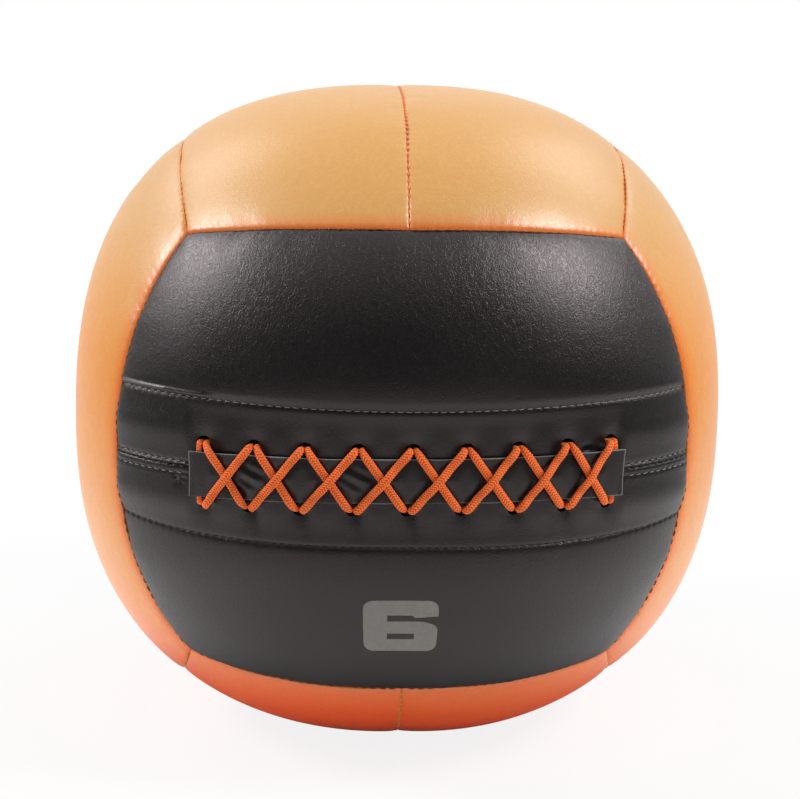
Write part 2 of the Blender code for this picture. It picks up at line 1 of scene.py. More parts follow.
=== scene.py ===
"""The looks of a laced wall ball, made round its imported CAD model. Sizes are in metres.

Every piece is a surface worked out with numpy. A panel is a function of two parameters, u along its face's
mid seam and v across it, and everything sewn on it is placed by the same function.
"""

import json
import math

import bmesh
import bpy
import numpy as np
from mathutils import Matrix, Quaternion, Vector

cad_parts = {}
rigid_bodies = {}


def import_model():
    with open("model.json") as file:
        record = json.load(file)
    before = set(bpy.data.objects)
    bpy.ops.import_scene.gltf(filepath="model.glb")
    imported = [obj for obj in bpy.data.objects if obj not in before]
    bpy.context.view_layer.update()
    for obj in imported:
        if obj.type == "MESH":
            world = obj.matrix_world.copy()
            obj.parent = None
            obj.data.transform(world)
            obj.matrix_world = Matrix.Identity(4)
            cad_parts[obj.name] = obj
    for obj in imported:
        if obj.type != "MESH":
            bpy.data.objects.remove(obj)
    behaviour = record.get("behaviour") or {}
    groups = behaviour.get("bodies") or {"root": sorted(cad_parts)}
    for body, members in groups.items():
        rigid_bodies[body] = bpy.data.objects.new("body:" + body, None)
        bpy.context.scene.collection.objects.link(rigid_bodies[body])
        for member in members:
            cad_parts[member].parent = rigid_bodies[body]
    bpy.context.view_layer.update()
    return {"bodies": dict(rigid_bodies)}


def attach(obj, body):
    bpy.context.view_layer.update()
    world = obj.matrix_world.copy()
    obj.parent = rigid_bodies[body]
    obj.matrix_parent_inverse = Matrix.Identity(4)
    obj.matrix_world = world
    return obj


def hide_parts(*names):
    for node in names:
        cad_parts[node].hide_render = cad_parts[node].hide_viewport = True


bl_info = {
    "name": "Laced wall ball",
    "version": (1, 0, 0),
    "blender": (4, 5, 0),
    "location": "View3D > Sidebar > Wall ball",
    "description": "Sews, laces and fills a wall ball round its CAD model",
    "category": "Add Mesh",
}

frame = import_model()
BODY = next(iter(frame["bodies"]))
MM = 0.001

# The ball's outline, as its CAD has it
BALL_RADIUS = 175 * MM
ROUNDING_POWER = 2.5
CORNER_DRAW_SHARE = 0.03
CENTRE_HEIGHT = 171 * MM
CENTRE = np.array((0, 0, CENTRE_HEIGHT))
SEAM_BULGE_SHARE = 0.24
BAND_HALF_WIDTH = 33 * MM
BAND_REACH = 118 * MM
BAND_SINK = 4 * MM
SEAM_GAP = 0.12 * MM
SEAM_ALLOWANCE = 6.5 * MM
SKIN = 1.2 * MM
LAYER_GAP = 0.3 * MM

# The slit, its holes, and the route of the lace, as the CAD has them
SLIT_HALF_LENGTH = 106 * MM
SLIT_HALF_GAP = 6 * MM
HOLE_PAIRS = 9
HOLE_PITCH = 26.8 * MM
HOLE_EASE_SHARE = 0.004
HOLE_RISE = 16.6 * MM
HOLE_RADII = (3.5 * MM, 2.8 * MM)
HOLE_DRAW = 0.5 * MM
PUNCH_REACH = 8 * MM
LACE_WIDTH = 4.4 * MM
LACE_THICKNESS = 3.2 * MM
LACE_SQUEEZED = 2.6 * MM
LACE_MOUTH = 3.2 * MM
LACE_LIP = 3.9 * MM
LACE_LAP = 0.6 * MM
LACE_GAP = 0.65 * MM
LACE_SPREAD = (LACE_SQUEEZED + LACE_GAP) / 2
STRAND_RISE = HOLE_RISE - 1.3 * MM
CROSSING_LIFT = 1.9 * MM
CROSSING_PRESS = 0.8 * MM
CROSSING_THICKNESS = 2.6 * MM
CROSSING_RUN = 2.4 * MM
CROSSING_SLOPE = 7.7 * MM
BEND_OVER_STRIP = ((2.7 * MM, 3.3 * MM), (0.7 * MM, 2.0 * MM))
BEND_UNDER_STRIP = ((7.3 * MM, 1.2 * MM), (2.7 * MM, 1.6 * MM), (0.8 * MM, 1.4 * MM))
BEND_MOUTH = (-0.2 * MM, -2.2 * MM)
BEND_INSIDE = ((0, -4.6 * MM), (1.1 * MM, -5.9 * MM), (3.8 * MM, -6.1 * MM))
DEEPER_STRAND_SHARES = (0.5, 0.9, 1)
STRIP = 1.2 * MM
STRIP_HALF_WIDTH = 11.5 * MM
STRIP_END = 4.8 * MM
STRIP_LIFT = 2.2 * MM
STRIP_LIFT_RUN = 20 * MM
STRIP_LIFT_LEAN_SHARE = 0.75
STRIP_ROUND = 0.15 * MM
KNOT_RADII = (3.9 * MM, 3.9 * MM, 1.0 * MM)
FACING_DEPTHS = (2.0 * MM, 3.2 * MM)
FACING_SETBACK = 2 * MM
FACING_MARGIN = 8 * MM

# The layers inside, as the CAD has them
FOAM_DEPTHS = (2.1 * MM, 7.1 * MM)
FOAM_MARGIN = 7 * MM
FOAM_EDGE = 1.2 * MM
LINER_DEPTH = 13 * MM
LINER = 0.8 * MM
LINER_DRAW = 4.5 * MM
CORE_RADIUS = 62 * MM
CORE_CLOTH = 1 * MM
NECK_RADIUS = 9 * MM
NECK_HEIGHT = 22 * MM
NECK_BORE = 3 * MM
TIE_RADIUS = 1.6 * MM

# Each face's outward direction, the way its mid seam runs, and the way across it
FACES = {
    "front": np.array(((0, -1, 0), (1, 0, 0), (0, 0, 1)), float),
    "back": np.array(((0, 1, 0), (-1, 0, 0), (0, 0, 1)), float),
    "top": np.array(((0, 0, 1), (0, 1, 0), (-1, 0, 0)), float),
    "bottom": np.array(((0, 0, -1), (0, 1, 0), (1, 0, 0)), float),
    "left": np.array(((-1, 0, 0), (0, 0, 1), (0, 1, 0)), float),
    "right": np.array(((1, 0, 0), (0, 0, 1), (0, -1, 0)), float),
}

# Each panel's name, its face, and the side of the mid seam it lies on
PANELS = (
    ("front_upper", "front", 1),
    ("front_lower", "front", -1),
    ("back_upper", "back", 1),
    ("back_lower", "back", -1),
    ("top_left", "top", 1),
    ("top_right", "top", -1),
    ("bottom_left", "bottom", -1),
    ("bottom_right", "bottom", 1),
    ("left_front", "left", -1),
    ("left_back", "left", 1),
    ("right_front", "right", 1),
    ("right_back", "right", -1),
)
BLACK_FACES = ("front", "back")

# How finely the panels are divided, in multiples of the step of their coarser inner side
INNER_STEP = 4
PANEL_COLUMNS = 80 * INNER_STEP
PANEL_ROWS = 34 * INNER_STEP
BAND_ROWS = 12 * INNER_STEP

# How finely the smaller pieces are divided, their rows before their columns
ROUND_COLUMNS = 144
FACING_GRID = (28, 200)
FOAM_GRID = (32, 72)
STRIP_GRID = (36, 360)
KNOT_GRID = (60, 96)
SAND_GRID = (59, 120)
TIE_GRID = (180, 24)
FLOOR_GRID = (60, 96)
DOME_ROWS = 40
ARC_POINTS = 40
PUNCH_SIDES = 28
STITCH_SIDES = 6

# The turn, in degrees, that makes an edge sharp
SHARP_ANGLE = 50
STRIP_SHARP_ANGLE = 45

# The braid of the lace
BRAID_COLUMNS = 8
BRAID_PITCH = 1.35 * MM
BRAID_DEPTH = 0.36 * MM
LACE_SIDES = 32

# The lace's line: its samples, its rings' spacing outside the cover and inside, and how deep the closer ones go
LINE_SAMPLES = 12000
RING_SPACINGS = (0.35 * MM, 1.4 * MM)
CLOSE_RINGS_OUT = -2.5 * MM
STRAND_PULL_SHARE = 0.75
TAIL_HALF_THICKNESS = 0.85 * MM

# How far from a seam each part of its relief reaches, and how high the slow waves and lumps stand
DIP_REACH = 4 * MM
ROLL_REACH = 1.1 * MM
PULL_REACH = 2.4 * MM
WAVE_REACH = 13 * MM
CROWN_REACH = 22 * MM
WAVE_HEIGHT = 0.28 * MM
LUMP_HEIGHT = 0.3 * MM

# The stitches: the radius and the sink of each closed seam's thread, the share of its pitch that a stitch covers,
# the places of a stitch's rings from one end to the other, and where the front's rows start and end
OUTER_THREAD = (0.4 * MM, -0.12 * MM)
MIDDLE_THREAD = (0.42 * MM, -0.15 * MM)
HEM_SINK = -0.05 * MM
SEAM_STITCH_SHARE = 0.66
HEM_STITCH_SHARE = 0.7
STITCH_STEPS = np.array((-1.0, -0.9, -0.45, 0.45, 0.9, 1.0))
SLIT_SEAM_START = 112 * MM
TOP_ROW_START = 113 * MM
ROW_END = 150 * MM

# The relief of the front. Where there are two, 1 is the side above the slit and -1 the side below it.
UPPER_HEM_RISE = 33 * MM
LOWER_HEM_RISE = 35 * MM
LOWER_HEM_DRAW = 6 * MM
TOP_ROWS = {1: 2.3 * MM, -1: 3.6 * MM}
HEM_CHANNELS = {1: (0.85 * MM, 1.4 * MM), -1: (0.7 * MM, 0.6 * MM)}
HEM_PUFFS = {1: 0.45 * MM, -1: 0.15 * MM}
HOLE_FOLDS = {1: (0.45, 4.0 * MM), -1: (0.95, 9.0 * MM)}
SLIT_END_ROLLS = {1: 0.8 * MM, -1: 0.1 * MM}
PINCH_PLACE = (89 * MM, 11.6 * MM)
STAR_PLACE = (-113 * MM, 6.5 * MM)
FLAT_ROLL = 0.45

# The numeral, its size and place and the left and right edges of its counter
NUMERAL_SIZE = (38.5 * MM, 28.8 * MM)
NUMERAL_PLACE = (-21.6 * MM, -89.6 * MM)
NUMERAL_COUNTER = (12.3 * MM, 26.4 * MM)

# Colours that the ball's panel doesn't list
# Painted highlight: the paler black along folded edges and the strip's edges.
BLACK_EDGE_HIGHLIGHT = (0.03, 0.026, 0.025, 1)
BLACK_CRACK = (0.004, 0.0035, 0.0035, 1)
BLACK_BACKING = (0.11, 0.11, 0.115, 1)
# The strip's pale cut edge: partly the raw edge's colour, partly a painted highlight.
CUT_EDGE_WITH_HIGHLIGHT = (0.24, 0.23, 0.22, 1)
# Painted light in the seam grooves: a saturated orange line along every seam's rolled edge.
SEAM_GROOVE_LIGHT_ORANGE = (0.80, 0.21, 0.015, 1)
ORANGE_CRACK = (0.55, 0.09, 0.012, 1)
ORANGE_BACKING = (0.42, 0.40, 0.37, 1)
# Painted highlight: the pale colour laid on the crests of the braid's threads.
BRAID_CREST_HIGHLIGHT = (1.0, 0.40, 0.13, 1)
WORN_INK = (0.07, 0.066, 0.062, 1)
FLOOR_DARK = (0.78, 0.78, 0.78, 1)
FLOOR_LIGHT = (0.84, 0.84, 0.84, 1)

# The grain of both leathers: its cells and creases to the metre, each with how deep they are
BLACK_GRAIN = (1700.0, 0.4, 520.0, 0.4)
ORANGE_GRAIN = (1300.0, 0.35, 300.0, 0.3)

# The studio. Each lamp has its name, place and size, and the setting of its power.
DIM_ROOM = 0.05
FLOOR_REACH = (0.05, 30)
LAMPS = (
    ("left_lamp", (-1.5, -0.05, 1.3), 0.5, "side_power"),
    ("right_lamp", (1.25, -0.5, 1.4), 0.5, "side_power"),
    ("back_left_lamp", (-0.95, 0.85, 1.35), 0.7, "back_power"),
    ("back_right_lamp", (0.95, 0.75, 1.45), 0.7, "back_power"),
)
LAMP_AIM = (0, 0, 0.2)
SENSOR_WIDTH = 36
CAMERA_SHIFT = (4.8 / 800, 2.2 / 800)
CAMERA_CLIP = (0.05, 100)


def number_setting(name, description, default, **kind):
    """A number shown in the ball's panel."""
    return bpy.props.FloatProperty(name=name, description=description, default=default, **kind)


def length_setting(name, description, default):
    """A length in metres shown in the ball's panel."""
    return number_setting(name, description, default, unit="LENGTH")


def angle_setting(name, description, degrees):
    """An angle shown in the ball's panel."""
    return number_setting(name, description, math.radians(degrees), subtype="ANGLE")


def colour_setting(name, description, *rgb):
    """A solid colour shown in the ball's panel."""
    return bpy.props.FloatVectorProperty(name=name, description=description, default=(*rgb, 1), size=4, subtype="COLOR")


class BallSewing(bpy.types.PropertyGroup):
    """How deep the ball's seams lie and how it is stitched."""

    seam_dip: length_setting("Seam dip", "How far a panel falls towards its seams", 0.55 * MM)
    seam_roll: length_setting("Seam roll", "How far its folded edge rolls into the seam", 0.9 * MM)
    crown: length_setting("Crown", "How far the middle of a panel swells over its edges", 0.8 * MM)
    seam_pitch: length_setting("Seam stitch", "From one stitch of a closed seam to the next", 4.8 * MM)
    hem_pitch: length_setting("Hem stitch", "From one stitch of a hem to the next", 4.2 * MM)
    pull: length_setting("Stitch pull", "How far each stitch draws the leather in", 0.28 * MM)
    pucker: length_setting("Pucker", "How high the soft folds by the lace holes stand", 1.0 * MM)


class BallColours(bpy.types.PropertyGroup):
    """The colours of the ball's pieces."""

    black: colour_setting("Black leather", "The front and back panels", 0.0038, 0.0030, 0.0032)
    orange: colour_setting("Orange leather", "The upper part of the orange panels", 0.77, 0.285, 0.030)
    # Painted highlight: a paler orange laid on the upper panels, where light from above washes them out.
    painted_highlight_orange: colour_setting("Pale orange", "The paler orange on top of the ball", 0.62, 0.33, 0.078)
    # Painted shade: a redder orange laid round the base, where less light reaches.
    painted_shade_orange: colour_setting("Low orange", "The redder orange round the base", 0.93, 0.085, 0.006)
    # Painted shade: a deeper orange laid where an orange panel folds into its seam with a black one.
    orange_seam: colour_setting("Orange at the seams", "Where an orange panel folds in", 0.86, 0.135, 0.004)
    lace: colour_setting("Lace", "The raised threads of the braid", 1.0, 0.185, 0.028)
    # Painted shade: the dark red laid in the valleys between the braid's threads.
    braid_valley_shade: colour_setting("Lace valleys", "Between the threads of the braid", 0.56, 0.050, 0.006)
    numeral: colour_setting("Numeral", "The grey ink of the numeral", 0.235, 0.224, 0.208)


class BallStudio(bpy.types.PropertyGroup):
    """Where the camera stands and how strong the lights are."""

    distance: length_setting("Distance", "From the camera to the ball's centre", 1.15)
    elevation: angle_setting("Elevation", "How far above the ball's centre the camera looks from", 12.44)
    azimuth: angle_setting("Azimuth", "How far round the ball the camera stands", -2.26)
    roll: angle_setting("Roll", "How far the ball is turned in the picture", 0.92)
    lens: number_setting("Lens", "The camera's focal length", 92.5, subtype="DISTANCE_CAMERA")
    side_power: number_setting("Side lamps", "The power of each of the two side lamps", 22.0, subtype="POWER")
    back_power: number_setting("Back lamps", "The power of each lamp behind the ball", 5.0, subtype="POWER")
    fill: number_setting("Fill", "The strength of the room's even light", 0.31, min=0, max=1)


def sewing():
    """The ball's sewing sizes."""
    return bpy.context.scene.ball_sewing


def chosen(name):
    """One of the ball's colours, as red, green, blue and alpha."""
    return tuple(getattr(bpy.context.scene.ball_colours, name))


# The ball's outline


def unit(vectors):
    """Vectors scaled to a length of one."""
    return vectors / np.linalg.norm(vectors, axis=-1, keepdims=True)


def smooth_step(x):
    """3x² - 2x³ of a value held between 0 and 1."""
    x = np.clip(x, 0, 1)
    return x * x * (3 - 2 * x)


def bell(x):
    """A bell of height one: the exponential of -x²."""
    return np.exp(-(x**2))


def directions_round(tilt, turn):
    """Directions at angles above the level, and at angles round the upright axis."""
    return np.stack((np.cos(turn) * np.cos(tilt), np.sin(turn) * np.cos(tilt), np.sin(tilt) + 0 * turn), axis=-1)


def outline_reach(direction):
    """How far the outline lies along unit directions: the 2.5-norm ball, its eight corners drawn in."""
    part = np.abs(direction)
    total = (part**ROUNDING_POWER).sum(-1)
    corner = 27 * part.prod(-1) ** 2
    return BALL_RADIUS * total ** (-1 / ROUNDING_POWER) * (1 - CORNER_DRAW_SHARE * corner)


def front_place_of(direction):
    """How far along the slit and up from it directions lie, measured round the ball."""
    along = BALL_RADIUS * np.arctan2(direction[..., 0], -direction[..., 1])
    return along, BALL_RADIUS * np.arcsin(np.clip(direction[..., 2], -1, 1))


def band_share(direction):
    """How much of the lacing's draw there is: 1 in the band, falling by the sixth power across it."""
    along, rise = front_place_of(direction)
    return 1 / (1 + (rise / BAND_HALF_WIDTH) ** 6) / (1 + (along / BAND_REACH) ** 8)


def body_point(direction, depth, dip=0.0, draw=0.0):
    """Points of a layer under the outline: dipped, drawn in by the lacing, and pressed flat at the base."""
    depth = np.asarray(depth, float)
    reach = outline_reach(direction) - dip - (BAND_SINK + draw) * band_share(direction) - depth
    point = direction * reach[..., None]
    point[..., 2] = np.maximum(point[..., 2], depth - CENTRE_HEIGHT) + CENTRE_HEIGHT
    return point


def end_edge(across):
    """Where a face ends along its mid seam, on a plane one unit from the centre: 1 + k(1 - across²)."""
    return 1 + SEAM_BULGE_SHARE * (1 - across * across)


def side_edge(along):
    """Where a face ends across its mid seam: the curve that the next face's end edge makes there."""
    k = SEAM_BULGE_SHARE
    return (1 + np.sqrt(1 + 4 * (1 + k) * k * along * along)) / (2 * (1 + k))


def face_direction(face, along, across):
    """Directions through places on a face's plane."""
    normal, along_axis, across_axis = FACES[face]
    return unit(normal + along[..., None] * along_axis + across[..., None] * across_axis)


def front_direction(along, rise):
    """Directions to places along the slit and up from it."""
    turn, tilt = np.asarray(along) / BALL_RADIUS, np.asarray(rise) / BALL_RADIUS
    turn, tilt = np.broadcast_arrays(turn, tilt)
    return np.stack((np.sin(turn) * np.cos(tilt), -np.cos(turn) * np.cos(tilt), np.sin(tilt)), axis=-1)


def front_v(u, rise):
    """The v at which the front face is some height above its mid seam, by six rounds of substitution."""
    v = np.zeros_like(u)
    for _ in range(6):
        along = u * end_edge(v)
        v = np.tan(rise / BALL_RADIUS) * np.sqrt(1 + along * along) / side_edge(u)
    return v


def slit_place(u):
    """How far from the slit's middle places on the front's mid seam lie."""
    return BALL_RADIUS * np.arctan(np.abs(u) * end_edge(0))


def slit_half_gap(u):
    """Half the slit's opening along the front: a fourth-power arch, and half a seam's gap past its ends."""
    return np.maximum(SLIT_HALF_GAP * (1 - (slit_place(u) / SLIT_HALF_LENGTH) ** 4), SEAM_GAP / 2)


def hole_along(k):
    """How far along the slit a pair of holes lies, counted from the left."""
    step = np.asarray(k) - (HOLE_PAIRS - 1) / 2
    return step * HOLE_PITCH * (1 - HOLE_EASE_SHARE * step * step)


FACE_REACH = BALL_RADIUS * math.atan(float(side_edge(0.0)))
HOLES = hole_along(np.arange(HOLE_PAIRS))
STRIP_HALF_LENGTH = float(HOLES[-1]) + STRIP_END


def lacing_shift(along, rise):
    """How far the lacing has been pulled down: most at the upper left, by quadratics of the place along the slit."""
    t = np.clip(along / (107 * MM), -1.05, 1.05)
    upper = 1.6 - 1.0 * t + 0.8 * t * t
    lower = 0.4 - 0.9 * t - 0.2 * t * t
    share = np.clip(rise / HOLE_RISE, -1.4, 1.4)
    return MM * (upper * (1 + share) + lower * (1 - share)) / 2


def lacing_lean(along):
    """How far the lacing's upper row leans to the right, by two smooth steps of the place along the slit."""
    return MM * (2.4 * smooth_step((along + 100 * MM) / (22 * MM)) - 1.2 * smooth_step(along / (80 * MM)))


def laced_direction(along, rise):
    """Directions to places of the lacing, given where they would be if its rows ran evenly and face to face."""
    upper = np.clip(0.5 + 0.5 * rise / HOLE_RISE, -0.2, 1.2)
    return front_direction(along + lacing_lean(along) * upper, rise - lacing_shift(along, rise))


def hem_rise(side, along):
    """How far from the slit a hem is stitched: level above it, and drawn in towards both ends below it."""
    if side > 0:
        return UPPER_HEM_RISE + 0 * along
    return LOWER_HEM_RISE - LOWER_HEM_DRAW * np.minimum(1, (along / (150 * MM)) ** 2)


def hem_v(side, u):
    """The v at which a front panel's hem is stitched."""
    return front_v(u, hem_rise(side, BALL_RADIUS * np.arctan(1.2 * u)))


# The relief of the cover: how far its surface falls below the outline


def make_run_tables():
    """How far along a seam places lie from its middle, for an outer seam by v and for a mid seam by u."""
    at = np.linspace(-1, 1, 801)
    outer = face_direction("top", end_edge(at), at)
    middle = face_direction("top", at * end_edge(0), 0 * at)
    tables = []
    for direction in (outer, middle):
        points = direction * outline_reach(direction)[..., None]
        steps = np.linalg.norm(np.diff(points, axis=0), axis=-1)
        run = np.concatenate(([0], np.cumsum(steps)))
        tables.append(run - run[len(run) // 2])
    return at, *tables


RUN_AT, OUTER_RUN, MIDDLE_RUN = make_run_tables()


def soft_wave(run, seed):
    """A slow uneven wave along a seam: three sines of 47, 29 and 17 mm, their phases set by the seed."""
    wave = np.sin(run * math.tau / (47 * MM) + 1.7 * seed)
    wave += 0.7 * np.sin(run * math.tau / (29 * MM) + 2.9 * seed + 1)
    return (wave + 0.5 * np.sin(run * math.tau / (17 * MM) + 4.3 * seed + 2)) / 2.2


def needle_pull(run, pitch):
    """How much the thread pulls: 1 at each needle hole and 0 in the middle of each stitch, by a squared wave."""
    return sewing().pull * (0.5 - 0.5 * np.cos(run * math.tau / pitch)) ** 2


def seam_relief(distance, run, seed, roll=1.0):
    """The fall beside a closed seam: exponentials of a dip and a rolled edge, drawn in at each needle hole."""
    sizes = sewing()
    distance = np.maximum(distance, 0)
    fall = sizes.seam_dip * np.exp(-distance / DIP_REACH) + roll * sizes.seam_roll * np.exp(-distance / ROLL_REACH)
    fall += needle_pull(run, sizes.seam_pitch) * np.exp(-distance / PULL_REACH)
    return fall + WAVE_HEIGHT * soft_wave(run, seed) * bell(distance / WAVE_REACH)


def lump_relief(direction, seed):
    """The slow lumps of the filling: products of sines of the direction's parts."""
    x, y, z = (direction[..., i] for i in range(3))
    wave = np.sin(7.3 * x + 1.3 * seed) * np.sin(6.1 * z + 0.7 * seed + 2) + 0.6 * np.sin(11.7 * y + 5.9 * z + seed)
    return LUMP_HEIGHT * wave


def hem_relief(side, along, height):
    """The fall round a hem: its stitched channel, a puff beyond it, and above the slit a fold at its left end."""
    over = height - hem_rise(side, along)
    depth, width = HEM_CHANNELS[side]
    fall = depth * np.exp(-np.abs(over) / width)
    fall += needle_pull(along, sewing().hem_pitch) * bell(over / (1.6 * MM))
    fall -= HEM_PUFFS[side] * smooth_step(over / (4 * MM)) * bell(np.maximum(over, 0) / (16 * MM))
    if side < 0:
        return fall + 1.0 * MM * smooth_step((height - 17 * MM) / (17 * MM)) * (1 - smooth_step(over / (24 * MM)))
    fall += 0.25 * MM * bell((over + 5 * MM) / (5 * MM))
    left = smooth_step((-along - 92 * MM) / (12 * MM))
    return fall - 1.2 * MM * left * bell((over - 1.5 * MM) / (0.9 * MM))


def hole_relief(side, along, rise):
    """The fall round the lace holes: a dimple at each, folds that fan out from it, and the sunken lips between."""
    place = along - lacing_lean(along) * (side > 0)
    pair = np.interp(place, HOLES, np.arange(HOLE_PAIRS))
    nearest = np.clip(np.rint(pair), 0, HOLE_PAIRS - 1).astype(int)
    pulled = np.abs(rise + lacing_shift(along, rise))
    off, below = place - HOLES[nearest], pulled - HOLE_RISE
    uneven = 0.7 + 0.45 * np.sin(2.3 * nearest + 1.1 * side) + 0.25 * np.sin(5.1 * nearest + side)
    share, reach = HOLE_FOLDS[side]
    fan = np.exp(-np.maximum(below, 0) / reach) * smooth_step((below + 5 * MM) / (4 * MM))
    fold = bell((off - 2.2 * MM - 0.25 * below) / (2.6 * MM)) - 0.8 * bell((off + 2.6 * MM + 0.1 * below) / (3.2 * MM))
    fall = sewing().pucker * share * uneven * fold * fan
    fall += 0.28 * MM * np.cos(math.tau * pair) * bell((pulled - 19 * MM) / (7 * MM))
    fall += 1.0 * MM * (1 - smooth_step(np.abs(rise) / (10 * MM)))
    fall *= 1 - smooth_step((np.abs(along) - 102 * MM) / (8 * MM))
    fall += 0.9 * MM * bell(np.hypot(off, below) / (4.6 * MM))
    if side > 0:
        x, y = along - PINCH_PLACE[0], rise - PINCH_PLACE[1]
        fall += 1.3 * MM * bell(x / (4.2 * MM)) * bell(y / (1.9 * MM))
    return fall


def slit_end_relief(side, along, height):
    """The fall past the slit's ends: the closed seam, its rolled edge and stitched row, a puff, and a star fold."""
    fall = 1.1 * MM * np.exp(-height / (1.0 * MM))
    fall -= SLIT_END_ROLLS[side] * bell((height - 0.9 * MM) / (0.7 * MM))
    fall += (0.25 * MM + needle_pull(along, sewing().hem_pitch)) * bell((height - TOP_ROWS[side]) / (0.8 * MM))
    fall -= 1.1 * MM * bell((height - 17 * MM) / (8 * MM))
    fall *= smooth_step((np.abs(along) - 104 * MM) / (6 * MM))
    if side < 0:
        x, y = along - STAR_PLACE[0], height - STAR_PLACE[1]
        star = 1 + 0.9 * np.cos(5 * np.arctan2(y, x) + 1)
        fall += 0.6 * MM * star * bell(np.hypot(x, y) / (2.7 * MM))
    return fall


def front_relief(direction, side):
    """The fall of the front's laced band: its hem, its lace holes, and its mid seam past the slit's ends."""
    along, rise = front_place_of(direction)
    height = np.abs(rise)
    return hem_relief(side, along, height) + hole_relief(side, along, rise) + slit_end_relief(side, along, height)


def rim_distances(along, across):
    """How far places on a face's plane are from its ends and from its sides, round the ball."""
    ends = BALL_RADIUS * (np.arctan(end_edge(across)) - np.arctan(np.abs(along)))
    return ends, BALL_RADIUS * (np.arctan(side_edge(along)) - np.arctan(np.abs(across)))


def panel_relief(face, side, along, across, direction):
    """How far a panel's surface falls below the outline, and how far each place is from the nearest seam."""
    ends, sides = rim_distances(along, across)
    u, v = along / end_edge(across), across / side_edge(along)
    seed = list(FACES).index(face) * 2 + side
    side_run = np.interp(np.clip(u / side_edge(u), -1, 1), RUN_AT, OUTER_RUN)
    fall = seam_relief(ends, np.interp(v, RUN_AT, OUTER_RUN), seed, FLAT_ROLL if face in ("left", "right") else 1)
    fall += seam_relief(sides, side_run, seed + 3, FLAT_ROLL if face in ("top", "bottom") else 1)
    nearest = np.minimum(ends, sides)
    if face == "front":
        fall += front_relief(direction, side)
    else:
        middle = BALL_RADIUS * np.arctan(np.abs(across))
        fall += seam_relief(middle, np.interp(u, RUN_AT, MIDDLE_RUN), seed + 5, FLAT_ROLL)
        nearest = np.minimum(nearest, middle)
    fall += sewing().crown * np.exp(-np.maximum(nearest, 0) / CROWN_REACH)
    return fall + lump_relief(direction, seed), nearest


def panel_point(face, side, u, v, depth=0.0):
    """Points at some depth under a panel's surface, and how far each is from the nearest seam."""
    along, across = u * end_edge(v), v * side_edge(u)
    direction = face_direction(face, along, across)
    fall, nearest = panel_relief(face, side, along, across, direction)
    return body_point(direction, depth, fall), nearest


def front_fall(side, direction):
    """How far the front's surface falls below the outline along directions."""
    plane = direction / -direction[..., 1:2]
    return panel_relief("front", side, plane[..., 0], plane[..., 2], direction)[0]


# Meshes


def circle(count):
    """Places evenly round a circle of radius one."""
    turn = np.arange(count) * math.tau / count
    return np.stack((np.cos(turn), np.sin(turn)), axis=-1)


def build_mesh(name, points, *face_sets, sharp=None, **numbers):
    """A mesh from an array of points and arrays of faces, each array with one number of corners.

    Numbers given by name are stored on the points, for a material to read. Edges that turn by more than a
    number of degrees are kept sharp.
    """
    mesh = bpy.data.meshes.new(name)
    mesh.vertices.add(len(points))
    mesh.vertices.foreach_set("co", np.asarray(points, np.float32).ravel())
    corners = np.concatenate([faces.ravel() for faces in face_sets]).astype(np.int32)
    sizes = np.concatenate([np.full(len(faces), faces.shape[1]) for faces in face_sets]).astype(np.int32)
    mesh.loops.add(len(corners))
    mesh.loops.foreach_set("vertex_index", corners)
    mesh.polygons.add(len(sizes))
    mesh.polygons.foreach_set("loop_start", np.concatenate(([0], np.cumsum(sizes)[:-1])).astype(np.int32))
    mesh.update(calc_edges=True)
    mesh.validate()
    mesh.shade_smooth()
    for label, values in numbers.items():
        stored = mesh.attributes.new(label, "FLOAT", "POINT").data
        stored.foreach_set("value", np.asarray(values, np.float32).ravel())
    if sharp is not None:
        mesh.set_sharp_from_angle(angle=math.radians(sharp))
    return mesh


def add_object(name, data):
    """Puts a new object in the scene."""
    item = bpy.data.objects.new(name, data)
    bpy.context.scene.collection.objects.link(item)
    return item


def add_piece(mesh, finish, *nodes, fill=None):
    """Puts a mesh in the scene as a piece of the ball, in a finish, standing for its CAD nodes."""
    mesh.materials.append(material(finish))
    item = add_object(mesh.name, mesh)
    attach(item, BODY)
    if nodes:
        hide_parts(*nodes)
    return item


def filled_out(values, count, rest=0.0):
    """Numbers for the first points of a mesh, and one number for all the rest."""
    numbers = np.full(count, rest)
    numbers[: values.size] = values.ravel()
    return numbers


def grid_faces(rows, columns, start=0):
    """The four-sided faces of a grid of points, facing the side where columns, rows and normal are a right hand."""
    at = start + np.arange(rows * columns).reshape(rows, columns)
    return np.stack((at[:-1, :-1], at[:-1, 1:], at[1:, 1:], at[1:, :-1]), axis=-1).reshape(-1, 4)


def border(grid):
    """The outside of a grid, in order round it from its first point."""
    return np.concatenate((grid[0], grid[1:-1, -1], grid[-1, ::-1], grid[-2:0:-1, 0]))


def ring_faces(upper, lower):
    """Faces between two closed loops of points. The lower loop may have a whole number of times fewer points."""
    step = len(upper) // len(lower)
    count = len(lower)
    after = np.roll(np.arange(count), -1)
    span = (np.arange(count)[:, None] * step + np.arange(step + 1)[None, ::-1]) % len(upper)
    return np.concatenate((lower[:, None], lower[after][:, None], upper[span]), axis=1)


def lidded(top, walls, under):
    """A closed body: a grid of points on top, loops going down round its edge, and a grid under it."""
    points = [top.reshape(-1, 3)]
    start = top.shape[0] * top.shape[1]
    loops = [border(np.arange(start).reshape(top.shape[:2]))]
    for wall in walls:
        points.append(wall)
        loops.append(start + np.arange(len(wall)))
        start += len(wall)
    points.append(under.reshape(-1, 3))
    loops.append(border(start + np.arange(under.shape[0] * under.shape[1]).reshape(under.shape[:2])))
    faces = [grid_faces(*top.shape[:2]), grid_faces(*under.shape[:2], start)[:, ::-1]]
    faces += [ring_faces(high, low) for high, low in zip(loops, loops[1:])]
    return np.concatenate(points), faces


